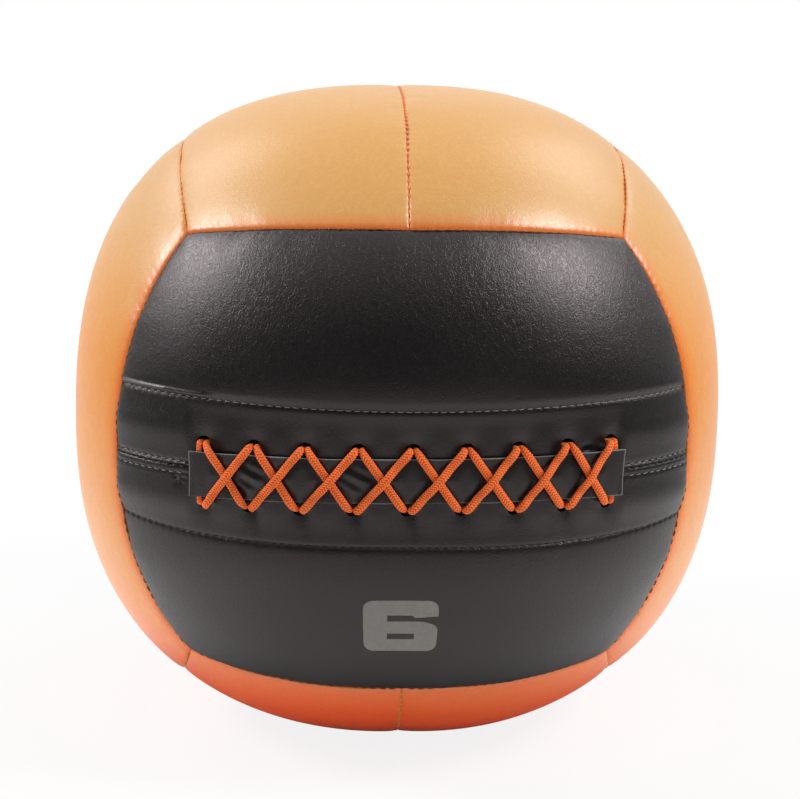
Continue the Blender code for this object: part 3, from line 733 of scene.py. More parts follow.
def walls_between(top, under, *shares):
    """Loops of points at shares of the way down from the border of one grid to that of another."""
    return [border(top) * (1 - share) + border(under) * share for share in shares]


def round_quads(at):
    """The four-sided faces between rows of point numbers that each go round."""
    after = np.roll(at, -1, axis=1)
    return np.stack((at[:-1], at[1:], after[1:], after[:-1]), axis=-1).reshape(-1, 4)


def looped(rows):
    """A closed body from rows of points that each go round, its last row joined to its first."""
    at = np.arange(rows.shape[0] * rows.shape[1]).reshape(rows.shape[:2])
    return rows.reshape(-1, 3), round_quads(np.concatenate((at, at[:1])))


def turned_faces(rows, columns):
    """The faces of rows of points that each go round, with a single point at the far end of both."""
    at = 1 + np.arange((rows - 2) * columns).reshape(rows - 2, columns)
    after = np.roll(at, -1, axis=1)
    quads = np.stack((at[:-1], after[:-1], after[1:], at[1:]), axis=-1).reshape(-1, 4)
    last = 1 + (rows - 2) * columns
    first_cap = np.stack((np.zeros(columns, int), after[0], at[0]), axis=-1)
    last_cap = np.stack((np.full(columns, last), at[-1], after[-1]), axis=-1)
    return quads, np.concatenate((first_cap, last_cap))


def turned(rows, flip=False):
    """A closed body from rows that each go round, its end rows drawn to one point, its faces flipped if asked."""
    points = np.concatenate((rows[0].mean(0)[None], rows[1:-1].reshape(-1, 3), rows[-1].mean(0)[None]))
    faces = turned_faces(len(rows), rows.shape[1])
    return points, [part[:, ::-1] for part in faces] if flip else faces


# Materials


def node(tree, kind, inputs=(), **settings):
    """Adds a shader node. Each input is a value to hold or an output socket to link."""
    made = tree.nodes.new(kind)
    for key, value in settings.items():
        setattr(made, key, value)
    for key, value in dict(inputs).items():
        if isinstance(value, bpy.types.NodeSocket):
            tree.links.new(value, made.inputs[key])
        else:
            made.inputs[key].default_value = value
    return made


def maths(tree, operation, *values):
    """One step of arithmetic on numbers or sockets."""
    return node(tree, "ShaderNodeMath", dict(enumerate(values)), operation=operation).outputs[0]


def blend(tree, share, first, second):
    """One number over another, by a share from 0 to 1."""
    return node(tree, "ShaderNodeMix", {0: share, 2: first, 3: second}, data_type="FLOAT").outputs[0]


def layered(tree, colour, *layers):
    """A colour with others laid over it in order, each by a share from 0 to 1."""
    for share, tint in layers:
        colour = node(tree, "ShaderNodeMix", {0: share, 6: colour, 7: tint}, data_type="RGBA").outputs[2]
    return colour


def ramp(tree, value, low, high, out_low=0.0, out_high=1.0):
    """A value moved smoothly from one range to another and held there."""
    inputs = {"Value": value, "From Min": low, "From Max": high, "To Min": out_low, "To Max": out_high}
    return node(tree, "ShaderNodeMapRange", inputs, interpolation_type="SMOOTHSTEP").outputs["Result"]


def noise(tree, vector, scale, detail=2.0, distortion=0.0):
    """Noise of some number of lumps to the metre."""
    inputs = {"Vector": vector, "Scale": scale, "Detail": detail, "Distortion": distortion}
    return node(tree, "ShaderNodeTexNoise", inputs).outputs["Fac"]


def axis(tree, vector, name):
    """One axis of a vector."""
    return node(tree, "ShaderNodeSeparateXYZ", {0: vector}).outputs[name]


def read(tree, name):
    """A number stored on the points of a mesh."""
    return node(tree, "ShaderNodeAttribute", attribute_name=name).outputs["Fac"]


def new_group(name, inputs, outputs):
    """An empty node group whose named sockets hold numbers, or vectors where no number is given."""
    group = bpy.data.node_groups.new(name, "ShaderNodeTree")
    for kind, sockets in (("INPUT", inputs), ("OUTPUT", outputs)):
        for label, value in sockets.items():
            socket_type = "NodeSocketVector" if value is None else "NodeSocketFloat"
            socket = group.interface.new_socket(label, in_out=kind, socket_type=socket_type)
            if value is not None:
                socket.default_value = value
    return group, group.nodes.new("NodeGroupInput").outputs, group.nodes.new("NodeGroupOutput").inputs


def place_group(tree, name, build, inputs):
    """Puts a node group in a material, and builds the group the first time."""
    group = bpy.data.node_groups.get(name) or build(name)
    return node(tree, "ShaderNodeGroup", inputs, node_tree=group).outputs


def build_grain(name):
    """Leather grain: rounded cells between fine cracks, with long soft creases running one way."""
    inputs = {"Vector": None, "Cells": 900.0, "Cell Depth": 0.5, "Creases": 90.0, "Crease Depth": 0.5}
    group, given, out = new_group(name, inputs, {"Height": 0.0, "Cracks": 0.0})
    warp = node(group, "ShaderNodeTexNoise", {"Vector": given["Vector"], "Scale": 260.0, "Detail": 2.0})
    warp = {0: warp.outputs["Color"], 1: (0.0022, 0.0022, 0.0022)}
    shift = node(group, "ShaderNodeVectorMath", warp, operation="MULTIPLY").outputs[0]
    bent = node(group, "ShaderNodeVectorMath", {0: given["Vector"], 1: shift}, operation="ADD").outputs[0]
    cells = {"Vector": bent, "Scale": given["Cells"], "Smoothness": 0.6}
    cells = node(group, "ShaderNodeTexVoronoi", cells, feature="SMOOTH_F1").outputs["Distance"]
    cell_height = ramp(group, cells, 0.75, 0.1)
    stretch = {"Vector": bent, "Rotation": (0.5, 0.9, 0.4), "Scale": (1.0, 1.0, 0.32)}
    crease = noise(group, node(group, "ShaderNodeMapping", stretch).outputs[0], given["Creases"], 5.0, 0.8)
    ridge = maths(group, "ABSOLUTE", maths(group, "SUBTRACT", crease, 0.5))
    crease_height = ramp(group, ridge, 0.0, 0.11)
    cell_part = maths(group, "MULTIPLY", cell_height, given["Cell Depth"])
    crease_part = maths(group, "MULTIPLY", crease_height, given["Crease Depth"])
    group.links.new(maths(group, "ADD", cell_part, crease_part), out["Height"])
    whole = maths(group, "MULTIPLY", cell_height, crease_height)
    group.links.new(maths(group, "SUBTRACT", 1.0, whole), out["Cracks"])
    return group


def build_weave(name):
    """A plain weave: two square sets of raised yarns that pass over and under each other."""
    group, given, out = new_group(name, {"Vector": None, "Yarns": 900.0}, {"Height": 0.0, "Gaps": 0.0})
    turn = maths(group, "MULTIPLY", given["Yarns"], math.pi)
    waves = [
        maths(group, "SINE", maths(group, "MULTIPLY", axis(group, given["Vector"], name), turn)) for name in ("X", "Y")
    ]
    height = maths(group, "ABSOLUTE", maths(group, "MULTIPLY", *waves))
    group.links.new(height, out["Height"])
    group.links.new(maths(group, "SUBTRACT", 1.0, height), out["Gaps"])
    return group


def leather_grain(tree, place, cells, cell_depth, creases, crease_depth):
    """The height and cracks of leather grain at a place."""
    inputs = {"Cells": cells, "Cell Depth": cell_depth, "Creases": creases, "Crease Depth": crease_depth}
    return place_group(tree, "leather_grain", build_grain, {"Vector": place, **inputs})


def dress(tree, colour, rough, height, depth, **constants):
    """Wires a material's colour, roughness and small relief, and sets constants on its shader's own sockets."""
    shader = tree.nodes["Principled BSDF"]
    relief = node(tree, "ShaderNodeBump", {"Height": height, "Distance": depth, "Strength": 1.0}).outputs[0]
    for key, value in {"Base Color": colour, "Roughness": rough, "Normal": relief}.items():
        tree.links.new(value, shader.inputs[key])
    for key, value in constants.items():
        shader.inputs[key.replace("_", " ")].default_value = value


def paler(colour, factor):
    """A colour some times as bright."""
    return tuple(factor * part for part in colour[:3]) + (1,)


def black_leather(tree, place):
    """Black coated leather: fine cells and long creases, and a painted highlight that makes it a little paler along its
    folded edges.
    """
    grain = leather_grain(tree, place, *BLACK_GRAIN)
    patch = noise(tree, place, 22.0, 3.0)
    base = chosen("black")
    colour = layered(
        tree,
        base,
        (ramp(tree, patch, 0.35, 0.75, 0.0, 0.35), paler(base, 1.6)),
        # Painted highlight: a paler black close to the seams and to the strip's edges.
        (ramp(tree, read(tree, "seam"), 2.6 * MM, 0.2 * MM, 0.0, 0.4), BLACK_EDGE_HIGHLIGHT),
        (ramp(tree, grain["Cracks"], 0.4, 1.0, 0.0, 0.5), BLACK_CRACK),
        # The strip's pale cut edge: partly the raw edge's colour, partly a painted highlight along the top.
        (read(tree, "cut"), CUT_EDGE_WITH_HIGHLIGHT),
        (read(tree, "inside"), BLACK_BACKING),
    )
    rough = maths(tree, "ADD", ramp(tree, patch, 0.3, 0.8, 0.30, 0.35), maths(tree, "MULTIPLY", grain["Cracks"], 0.06))
    shine = {"Specular_IOR_Level": 0.58, "Specular_Tint": (1.0, 0.87, 0.88, 1)}
    dress(tree, colour, rough, grain["Height"], 0.095 * MM, **shine)


def orange_leather(tree, place):
    """Orange coated leather with a fine grain. Painted shade makes it redder towards the base and deeper where it folds
    into the seams next to the black panels. A painted highlight makes it paler on top, and painted light in the seam
    grooves gives each seam a saturated orange line.
    """
    grain = leather_grain(tree, place, *ORANGE_GRAIN)
    patch = noise(tree, place, 9.0, 2.0)
    # The height, made uneven by noise, that sets the painted shade round the base and the painted highlight on top.
    level = maths(tree, "ADD", axis(tree, place, "Z"), maths(tree, "MULTIPLY", patch, 30 * MM))
    fold = read(tree, "fold")
    colour = layered(
        tree,
        # Painted shade: the redder orange round the base. The height ramps below lay the leather's own orange over it,
        # then a painted highlight of paler orange on top.
        chosen("painted_shade_orange"),
        (ramp(tree, level, 30 * MM, 125 * MM), chosen("orange")),
        (ramp(tree, level, 215 * MM, 310 * MM), chosen("painted_highlight_orange")),
        # Painted shade: a deeper orange laid within 11 mm of the black panels, where the leather folds into the seam.
        (ramp(tree, fold, 11 * MM, 0.0, 0.0, 0.45), chosen("orange_seam")),
        (ramp(tree, fold, 3.5 * MM, 0.0, 0.0, 0.7), chosen("orange_seam")),
        # Painted light in the seam groove: a saturated orange line within 1.8 mm of every seam.
        (ramp(tree, read(tree, "seam"), 1.8 * MM, 0.3 * MM, 0.0, 0.85), SEAM_GROOVE_LIGHT_ORANGE),
        (ramp(tree, grain["Cracks"], 0.5, 1.0, 0.0, 0.16), ORANGE_CRACK),
        (read(tree, "inside"), ORANGE_BACKING),
    )
    rough = maths(tree, "ADD", ramp(tree, patch, 0.3, 0.8, 0.29, 0.35), maths(tree, "MULTIPLY", grain["Cracks"], 0.08))
    sheen = {"Sheen_Weight": 0.04, "Sheen_Roughness": 0.5, "Sheen_Tint": (1.0, 0.8, 0.55, 1)}
    dress(tree, colour, rough, grain["Height"], 0.08 * MM, Specular_IOR_Level=0.8, **sheen)


def braid(tree, place):
    """Braided cord: raised threads with painted shade in the valleys between them and a painted highlight on their
    crests, and fine filaments along each thread.
    """
    raised = read(tree, "raised")
    fibre = noise(tree, place, 2600.0, 2.0)
    # Painted highlight on the threads' crests, broken up by the filaments, over painted shade in the valleys.
    crest_highlight = maths(tree, "MULTIPLY", ramp(tree, raised, 0.7, 1.0, 0.1, 1.0), ramp(tree, fibre, 0.35, 0.7, 0.1, 0.75))
    layers = ((ramp(tree, raised, 0.1, 0.6), chosen("lace")), (crest_highlight, BRAID_CREST_HIGHLIGHT))
    colour = layered(tree, chosen("braid_valley_shade"), *layers)
    rough = ramp(tree, raised, 0.0, 1.0, 0.8, 0.5)
    sheen = {"Sheen_Weight": 0.5, "Sheen_Roughness": 0.35, "Sheen_Tint": (1.0, 0.62, 0.32, 1)}
    dress(tree, colour, rough, maths(tree, "ADD", fibre, raised), 0.12 * MM, Specular_IOR_Level=0.3, **sheen)


def ink(tree, place):
    """Grey screen ink, thin enough to show the grain of the leather, with a few worn specks."""
    grain = leather_grain(tree, place, *BLACK_GRAIN)
    patch = noise(tree, place, 60.0, 4.0)
    base = chosen("numeral")
    worn = maths(tree, "MULTIPLY", ramp(tree, grain["Cracks"], 0.6, 1.0), ramp(tree, patch, 0.45, 0.7, 0.12, 0.22))
    layers = ((ramp(tree, patch, 0.3, 0.8, 0.0, 0.25), paler(base, 1.3)), (worn, WORN_INK))
    rough = ramp(tree, grain["Cracks"], 0.0, 1.0, 0.5, 0.62)
    dress(tree, layered(tree, base, *layers), rough, grain["Height"], 0.12 * MM, Specular_IOR_Level=0.3)


def thread(tree, place, dark, light):
    """Twisted sewing thread, its plies shown as fine slanting bands."""
    wave = {"Vector": place, "Scale": 900.0, "Distortion": 1.5}
    ply = node(tree, "ShaderNodeTexWave", wave, bands_direction="DIAGONAL").outputs["Fac"]
    rough = ramp(tree, ply, 0.0, 1.0, 0.7, 0.45)
    dress(tree, layered(tree, dark, (ply, light)), rough, ply, 0.06 * MM, Sheen_Weight=0.2, Sheen_Roughness=0.4)


def filling(tree, place, dark, light, lumps, depth, detail=4.0, distortion=0.0, rough=0.9):
    """Foam, fibre, sand or plastic in one pattern: lumps of two tones at some scale."""
    fine, broad = noise(tree, place, lumps, detail, distortion), noise(tree, place, lumps / 12, 2.0)
    layers = ((ramp(tree, fine, 0.3, 0.7), light), (ramp(tree, broad, 0.3, 0.8, 0.0, 0.35), dark))
    dress(tree, layered(tree, dark, *layers), ramp(tree, fine, 0.2, 0.8, rough, rough - 0.15), fine, depth)


def cloth(tree, place, dark, light, yarns):
    """Woven cloth, its weave laid by the piece's own UV map."""
    uv = node(tree, "ShaderNodeUVMap", uv_map="flat").outputs[0]
    weave = place_group(tree, "plain_weave", build_weave, {"Vector": uv, "Yarns": yarns})
    stain = noise(tree, place, 30.0, 3.0)
    layers = ((ramp(tree, weave["Gaps"], 0.2, 1.0), dark), (ramp(tree, stain, 0.4, 0.8, 0.0, 0.3), dark))
    rough = ramp(tree, weave["Gaps"], 0.0, 1.0, 0.8, 0.95)
    dress(tree, layered(tree, light, *layers), rough, weave["Height"], 0.25 * MM, Sheen_Weight=0.15)


def seen_plainly(tree, path):
    """One for rays from the camera, from a gloss or through glass."""
    seen = maths(tree, "MAXIMUM", path["Is Camera Ray"], path["Is Glossy Ray"])
    return maths(tree, "MAXIMUM", seen, path["Is Transmission Ray"])


def floor_paper(tree, place):
    """Paper that takes the ball's shadow, under a light of its own that turns it into the white of the background.

    Camera rays see the light grow with the distance from the ball. Glosses see it dark close under the ball and
    dim far in front, and a little brighter beside the ball, where diffuse rays get a bounce from it too.
    """
    shader = tree.nodes["Principled BSDF"]
    for key, value in (("Roughness", 0.9), ("Specular IOR Level", 0.1)):
        shader.inputs[key].default_value = value
    tone = layered(tree, FLOOR_DARK, (noise(tree, place, 3.0, 2.0), FLOOR_LIGHT))
    tree.links.new(tone, shader.inputs["Base Color"])
    path = node(tree, "ShaderNodeLightPath").outputs
    glossy, diffuse = path["Is Glossy Ray"], path["Is Diffuse Ray"]
    away = node(tree, "ShaderNodeVectorMath", {0: place}, operation="LENGTH").outputs["Value"]
    aside = maths(tree, "ABSOLUTE", axis(tree, place, "X"))
    back = maths(tree, "DIVIDE", axis(tree, place, "Y"), maths(tree, "ADD", away, 0.01))

    white_share = ramp(tree, away, 0.15, 0.7, maths(tree, "MAXIMUM", glossy, 0.86), 1.0)
    plain_share = maths(tree, "MULTIPLY", seen_plainly(tree, path), white_share)
    bounce = maths(tree, "MULTIPLY", ramp(tree, aside, 0.05, 0.15), ramp(tree, away, 0.2, 0.34, 0.36, 0.0))
    share = maths(tree, "MAXIMUM", plain_share, maths(tree, "MULTIPLY", diffuse, bounce))

    room = ramp(tree, away, 0.55, 1.8, 1.0, ramp(tree, back, 0.0, 1.0, DIM_ROOM, 1.0))
    room = maths(tree, "MULTIPLY", room, ramp(tree, away, 0.11, 0.2, 0.04, 1.0))
    beside = ramp(tree, away, 0.35, 0.75, ramp(tree, aside, 0.08, 0.25, 1.0, 1.4), 1.0)
    room = maths(tree, "MULTIPLY", room, beside)
    strength = blend(tree, glossy, maths(tree, "MULTIPLY_ADD", diffuse, 1.6, 1.0), room)
    white = node(tree, "ShaderNodeEmission", {"Color": (1, 1, 1, 1), "Strength": strength}).outputs[0]
    mixed = node(tree, "ShaderNodeMixShader", {0: share, 1: shader.outputs[0], 2: white}).outputs[0]
    tree.links.new(mixed, tree.nodes["Material Output"].inputs["Surface"])


# Each finish's function, and what it is given besides the node tree and the place of a point
FINISHES = {
    "black_leather": (black_leather,),
    "orange_leather": (orange_leather,),
    "lace_cord": (braid,),
    "numeral_ink": (ink,),
    # Painted highlight: dark thread coloured mid grey, for the rows on the front that catch the light.
    "grey_thread": (thread, (0.08, 0.08, 0.08, 1), (0.27, 0.26, 0.25, 1)),
    "black_thread": (thread, (0.012, 0.012, 0.012, 1), (0.05, 0.05, 0.05, 1)),
    "rust_thread": (thread, (0.16, 0.03, 0.006, 1), (0.45, 0.11, 0.02, 1)),
    "orange_thread": (thread, (0.55, 0.15, 0.025, 1), (0.80, 0.30, 0.07, 1)),
    "foam": (filling, (0.05, 0.05, 0.052, 1), (0.13, 0.13, 0.13, 1), 900.0, 0.3 * MM),
    "liner_cloth": (cloth, (0.36, 0.34, 0.29, 1), (0.66, 0.64, 0.57, 1), 1100.0),
    "stuffing_fibre": (filling, (0.28, 0.28, 0.30, 1), (0.62, 0.60, 0.58, 1), 260.0, 1.2 * MM, 8.0, 2.5),
    "core_canvas": (cloth, (0.27, 0.21, 0.13, 1), (0.52, 0.44, 0.30, 1), 800.0),
    "sand": (filling, (0.26, 0.18, 0.10, 1), (0.60, 0.48, 0.30, 1), 1500.0, 0.3 * MM),
    "tie_plastic": (filling, (0.72, 0.72, 0.68, 1), (0.86, 0.86, 0.82, 1), 400.0, 0.02 * MM, 4.0, 0.0, 0.5),
    "pale_floor": (floor_paper,),
}


def material(finish):
    """The material of a finish, made the first time it is asked for."""
    made = bpy.data.materials.get(f"{finish}_finish")
    if made is None:
        made = bpy.data.materials.new(f"{finish}_finish")
        made.use_nodes = True
        build, *settings = FINISHES[finish]
        place = node(made.node_tree, "ShaderNodeTexCoord").outputs["Object"]
        build(made.node_tree, place, *settings)
    return made


# The panels


def stations(count, lean=0.2):
    """Places from -1 to 1, closer together towards both ends: t(1 + lean(1 - t²))."""
    t = np.linspace(-1, 1, count + 1)
    return t * (1 + lean * (1 - t * t))


def shares(count, lean=0.2):
    """A column of places from 0 to 1, closer together towards both ends."""
    return (stations(count, lean) + 1)[:, None] / 2


def on_side(side, u, v):
    """Both parameters of a grid that was made for a face's upper or right side, on the side it is for."""
    v = side * v[::side]
    return np.broadcast_to(u, v.shape), v


def panel_grid(face, side):
    """The u and v of each point of a panel, row by row away from the face's lower or left edge."""
    share = SEAM_GAP / 2 / FACE_REACH
    u = stations(PANEL_COLUMNS) * (1 - share)
    if face == "front":
        hem, lip = hem_v(side, u), front_v(u, slit_half_gap(u))
        outer = shares(PANEL_ROWS - BAND_ROWS)[1:]
        v = np.concatenate((lip + (hem - lip) * shares(BAND_ROWS, 0.25), hem + (1 - share - hem) * outer))
    else:
        v = np.broadcast_to(share + (1 - 2 * share) * shares(PANEL_ROWS), (PANEL_ROWS + 1, PANEL_COLUMNS + 1))
    return on_side(side, u, v)


def black_seam_distance(face, u, v):
    """How far places on an orange face are from the black panels: off its ends above and below, else its sides."""
    ends, sides = rim_distances(u * end_edge(v), v * side_edge(u))
    return ends if face in ("top", "bottom") else sides


def wall_depths(face, u, v):
    """How deep a panel's edge is turned in: by its seam allowance, and twice its own thickness at the slit."""
    if face != "front":
        return np.full(u.shape, SEAM_ALLOWANCE)
    at_slit = (np.abs(v) < 0.08) & (np.abs(u) < 0.99)
    opened = 1 - smooth_step((slit_place(u) - (SLIT_HALF_LENGTH - 3 * MM)) / (4 * MM))
    return SEAM_ALLOWANCE - (SEAM_ALLOWANCE - 2 * SKIN) * opened * at_slit


def make_panel(name, face, side):
    """One panel: its sewn outer surface, its turned-in edges, and the cloth side of the leather under it."""
    u, v = panel_grid(face, side)
    top, nearest = panel_point(face, side, u, v)
    edge_u, edge_v = border(u), border(v)
    depth = wall_depths(face, edge_u, edge_v)
    walls = [panel_point(face, side, edge_u, edge_v, depth * share)[0] for share in (0.2, 0.6, 1)]
    inner_u, inner_v = u[::INNER_STEP, ::INNER_STEP], v[::INNER_STEP, ::INNER_STEP]
    inset = SKIN / FACE_REACH
    middle, half = (inner_v[:1] + inner_v[-1:]) / 2, np.abs(inner_v[-1:] - inner_v[:1]) / 2
    inner_u, inner_v = inner_u * (1 - inset), middle + (inner_v - middle) * (1 - inset / half)
    walls.append(panel_point(face, side, border(inner_u), border(inner_v), depth[::INNER_STEP])[0])
    under, _ = panel_point(face, side, inner_u, inner_v, SKIN)
    points, faces = lidded(top, walls, under)
    numbers = {
        "inside": filled_out(np.zeros(nearest.size + 3 * len(edge_u)), len(points), 1.0),
        "seam": filled_out(nearest, len(points)),
        "fold": filled_out(black_seam_distance(face, u, v), len(points)),
    }
    mesh = build_mesh(f"{name}_cover", points, *faces, **numbers)
    leather = "black_leather" if face in BLACK_FACES else "orange_leather"
    piece = add_piece(mesh, leather, f"{name}_panel", fill=0.9)
    if face == "front":
        punch_holes(piece, side)


def hole_punch(side):
    """The nine cutters of one row of holes: ovals pulled towards the slit by the lace, carried straight in."""
    outward = laced_direction(HOLES, side * (HOLE_RISE - HOLE_DRAW))
    sideways = unit(np.cross((0.0, 0.0, 1.0), outward)) * HOLE_RADII[0]
    upward = unit(np.cross(outward, sideways)) * HOLE_RADII[1]
    cosine, sine = circle(PUNCH_SIDES).T[:, None, :, None]
    ring = body_point(outward, 0)[:, None] + (cosine * sideways[:, None] + sine * upward[:, None])
    rings = np.stack((ring - outward[:, None] * PUNCH_REACH, ring + outward[:, None] * PUNCH_REACH), axis=1)
    at = np.arange(HOLE_PAIRS * 2 * PUNCH_SIDES).reshape(HOLE_PAIRS, 2, PUNCH_SIDES)
    after = np.roll(at, -1, axis=2)
    walls = np.stack((at[:, 0], after[:, 0], after[:, 1], at[:, 1]), axis=-1).reshape(-1, 4)
    caps = np.concatenate((at[:, 1], at[:, 0, ::-1]))
    return add_object("hole_punch", build_mesh("hole_punch", rings.reshape(-1, 3), walls, caps))


def punch_holes(piece, side):
    """Cuts one row of lace holes out of a piece."""
    punch = hole_punch(side)
    cut = piece.modifiers.new("holes", "BOOLEAN")
    cut.operation, cut.solver, cut.object = "DIFFERENCE", "EXACT", punch
    piece.data = bpy.data.meshes.new_from_object(piece.evaluated_get(bpy.context.evaluated_depsgraph_get()))
    piece.modifiers.clear()
    bpy.data.objects.remove(punch)
    piece.data.set_sharp_from_angle(angle=math.radians(SHARP_ANGLE))


# The lace, its knot and its strip: each point of the route is (along, rise, out, half width, half thickness)


def squeezed(along, rise, out):
    """A point of the lace's route where it is squeezed round."""
    return (along, rise, out, LACE_SQUEEZED / 2, LACE_SQUEEZED / 2)


def strip_lift(along):
    """How far the strip is held off the cover by the lace's tails under its ends."""
    return STRIP_LIFT * np.clip((np.abs(along) - float(HOLES[-1]) + STRIP_LIFT_RUN) / STRIP_LIFT_RUN, 0, 1)


def through_hole(k, side, half):
    """A strand going in through a hole."""
    width = LACE_MOUTH / 2
    return [(HOLES[k] + half * LACE_SPREAD, side * STRAND_RISE, out, width, width) for out in BEND_MOUTH]


def inner_run(k, half, layer):
    """In at an upper hole, down inside the ball, and out at the lower hole on its other half."""
    deeper = layer * (LACE_SQUEEZED + LACE_GAP)
    bends = [
        (STRAND_RISE - inward, out - share * deeper)
        for (inward, out), share in zip(BEND_INSIDE, DEEPER_STRAND_SHARES)
    ]
    left, right = HOLES[k] + half * LACE_SPREAD, HOLES[k] - half * LACE_SPREAD
    down = [squeezed(left, rise, out) for rise, out in bends]
    up = [squeezed(right, -rise, out) for rise, out in reversed(bends)]
    return [*through_hole(k, 1, half), *down, *up, *reversed(through_hole(k, -1, -half))]


def outer_run(lower, upper, over):
    """Outside the strip, up from a lower hole to an upper one, over or under the strand it crosses."""
    lean = 1 if upper > lower else -1
    start = HOLES[lower] + lean * LACE_SPREAD
    length = HOLES[upper] - HOLES[lower] - 2 * lean * LACE_SPREAD

    def along_at(rise):
        return start + length * (rise / STRAND_RISE + 1) / 2

    def bend(side):
        (off_edge, edge_out), (off_lip, lip_out) = BEND_OVER_STRIP
        lap = LACE_LAP if over else -LACE_LAP
        edge, lip = side * (STRAND_RISE - off_edge + lap), side * (STRAND_RISE - off_lip + lap)
        lift = float(strip_lift(along_at(edge)))
        lip_out += lift * STRIP_LIFT_LEAN_SHARE + max(0, lap)
        return [
            (along_at(edge), edge, edge_out + lift + max(0, lap), LACE_WIDTH / 2, LACE_THICKNESS / 2),
            (along_at(lip), lip, lip_out, LACE_LIP / 2, LACE_THICKNESS / 2),
        ]

    route = list(reversed(bend(-1)))
    for rise in (-CROSSING_SLOPE, -CROSSING_RUN, CROSSING_RUN, CROSSING_SLOPE):
        crossing = abs(rise) == CROSSING_RUN
        hump = (CROSSING_LIFT if over else -CROSSING_PRESS) if crossing else 0
        out = float(strip_lift(along_at(rise))) + 2 * LAYER_GAP + STRIP + LACE_THICKNESS / 2 + hump
        thickness = CROSSING_THICKNESS if crossing else LACE_THICKNESS
        route.append((along_at(rise), rise, out, LACE_WIDTH / 2, thickness / 2))
    return [*route, *bend(1)]


def under_strip(k, half, side):
    """A strand between the cover and an end of the strip, from near the slit out to a hole."""
    along = HOLES[k] + half * LACE_SPREAD
    width, thickness = LACE_MOUTH / 2, TAIL_HALF_THICKNESS
    return [(along, side * (STRAND_RISE - off), out, width, thickness) for off, out in BEND_UNDER_STRIP]


def lace_route():
    """The whole lace: one helix along the slit, a turn under the strip's right end, and one back over it."""
    last = HOLE_PAIRS - 1
    route = under_strip(0, -1, 1)
    for k in range(last):
        route += [*inner_run(k, -1, 0), *outer_run(k, k + 1, over=True)]
    route += inner_run(last, -1, 0)
    route += [*reversed(under_strip(last, 1, -1)), *under_strip(last, 1, 1)]
    for k in range(last, 0, -1):
        route += [*inner_run(k, 1, 1), *outer_run(k, k - 1, over=False)]
    route += inner_run(0, 1, 1)
    route += reversed(under_strip(0, -1, -1))
    return np.array(route, float)


def route_widths(centres, outward):
    """The direction across the lace at each point of its route, kept from turning over where it goes in."""
    forward = unit(np.gradient(centres, axis=0))
    widths, last = [], np.array((1.0, 0.0, 0.0))
    for ahead, out in zip(forward, outward):
        flat = np.cross(ahead, out)
        if np.linalg.norm(flat) > 0.5:
            last = flat if flat @ last > 0 else -flat
        last = unit(last - ahead * (last @ ahead))
        widths.append(last)
    return np.array(widths)


def smooth_path(knots, at):
    """A smooth curve through knots: cubic pieces whose slopes are the weighted means of the chords beside them."""
    chords = np.sqrt(np.linalg.norm(np.diff(knots[:, :3], axis=0), axis=1))
    slope = np.diff(knots, axis=0) / chords[:, None]
    before, after = chords[:-1, None], chords[1:, None]
    inner = (slope[:-1] * after + slope[1:] * before) / (before + after)
    slopes = np.concatenate((slope[:1], inner, slope[-1:]))
    k = np.clip(np.floor(at).astype(int), 0, len(knots) - 2)
    t, step = (at - k)[:, None], chords[k][:, None]
    first = (2 * t**3 - 3 * t**2 + 1) * knots[k] + (t**3 - 2 * t**2 + t) * step * slopes[k]
    return first + (3 * t**2 - 2 * t**3) * knots[k + 1] + (t**3 - t**2) * step * slopes[k + 1]


def lace_line():
    """The lace's centre line as even steps of its own length, closer where it shows outside the cover."""
    route = lace_route()
    drawn = STRAND_PULL_SHARE * np.maximum(route[:, 2], 0) * route[:, 0] / BALL_RADIUS
    outward = laced_direction(route[:, 0] - drawn, route[:, 1])
    centres = body_point(outward, -route[:, 2])
    widths = route_widths(centres, outward)
    knots = np.concatenate((centres, widths, route[:, 2:]), axis=1)
    line = smooth_path(knots, np.linspace(0, len(route) - 1, LINE_SAMPLES))
    run = np.concatenate(([0], np.cumsum(np.linalg.norm(np.diff(line[:, :3], axis=0), axis=1))))
    spacing = np.where(line[:, 6] > CLOSE_RINGS_OUT, *RING_SPACINGS)
    rings = np.concatenate(([0], np.cumsum(np.diff(run) / spacing[1:])))
    count = int(rings[-1])
    at = np.interp(np.linspace(0, rings[-1], count), rings, np.arange(len(run)))
    low = np.clip(at.astype(int), 0, len(run) - 2)
    share = (at - low)[:, None]
    line = line[low] * (1 - share) + line[low + 1] * share
    return line, run[low] * (1 - share[:, 0]) + run[low + 1] * share[:, 0]


def braid_height(turn, run):
    """The relief of a braid, from 0 in its valleys to 1: slanting ovals whose slant changes at each column."""
    column = turn * BRAID_COLUMNS
    place = column - np.floor(column) - 0.5
    slant = np.where(np.floor(column) % 2 == 0, 1.0, -1.0)
    oval = 0.5 + 0.5 * np.cos(math.tau * (run / BRAID_PITCH + slant * place * 0.8))
    return oval**0.8 * np.sqrt(np.clip(np.cos(math.pi * place), 0, 1))


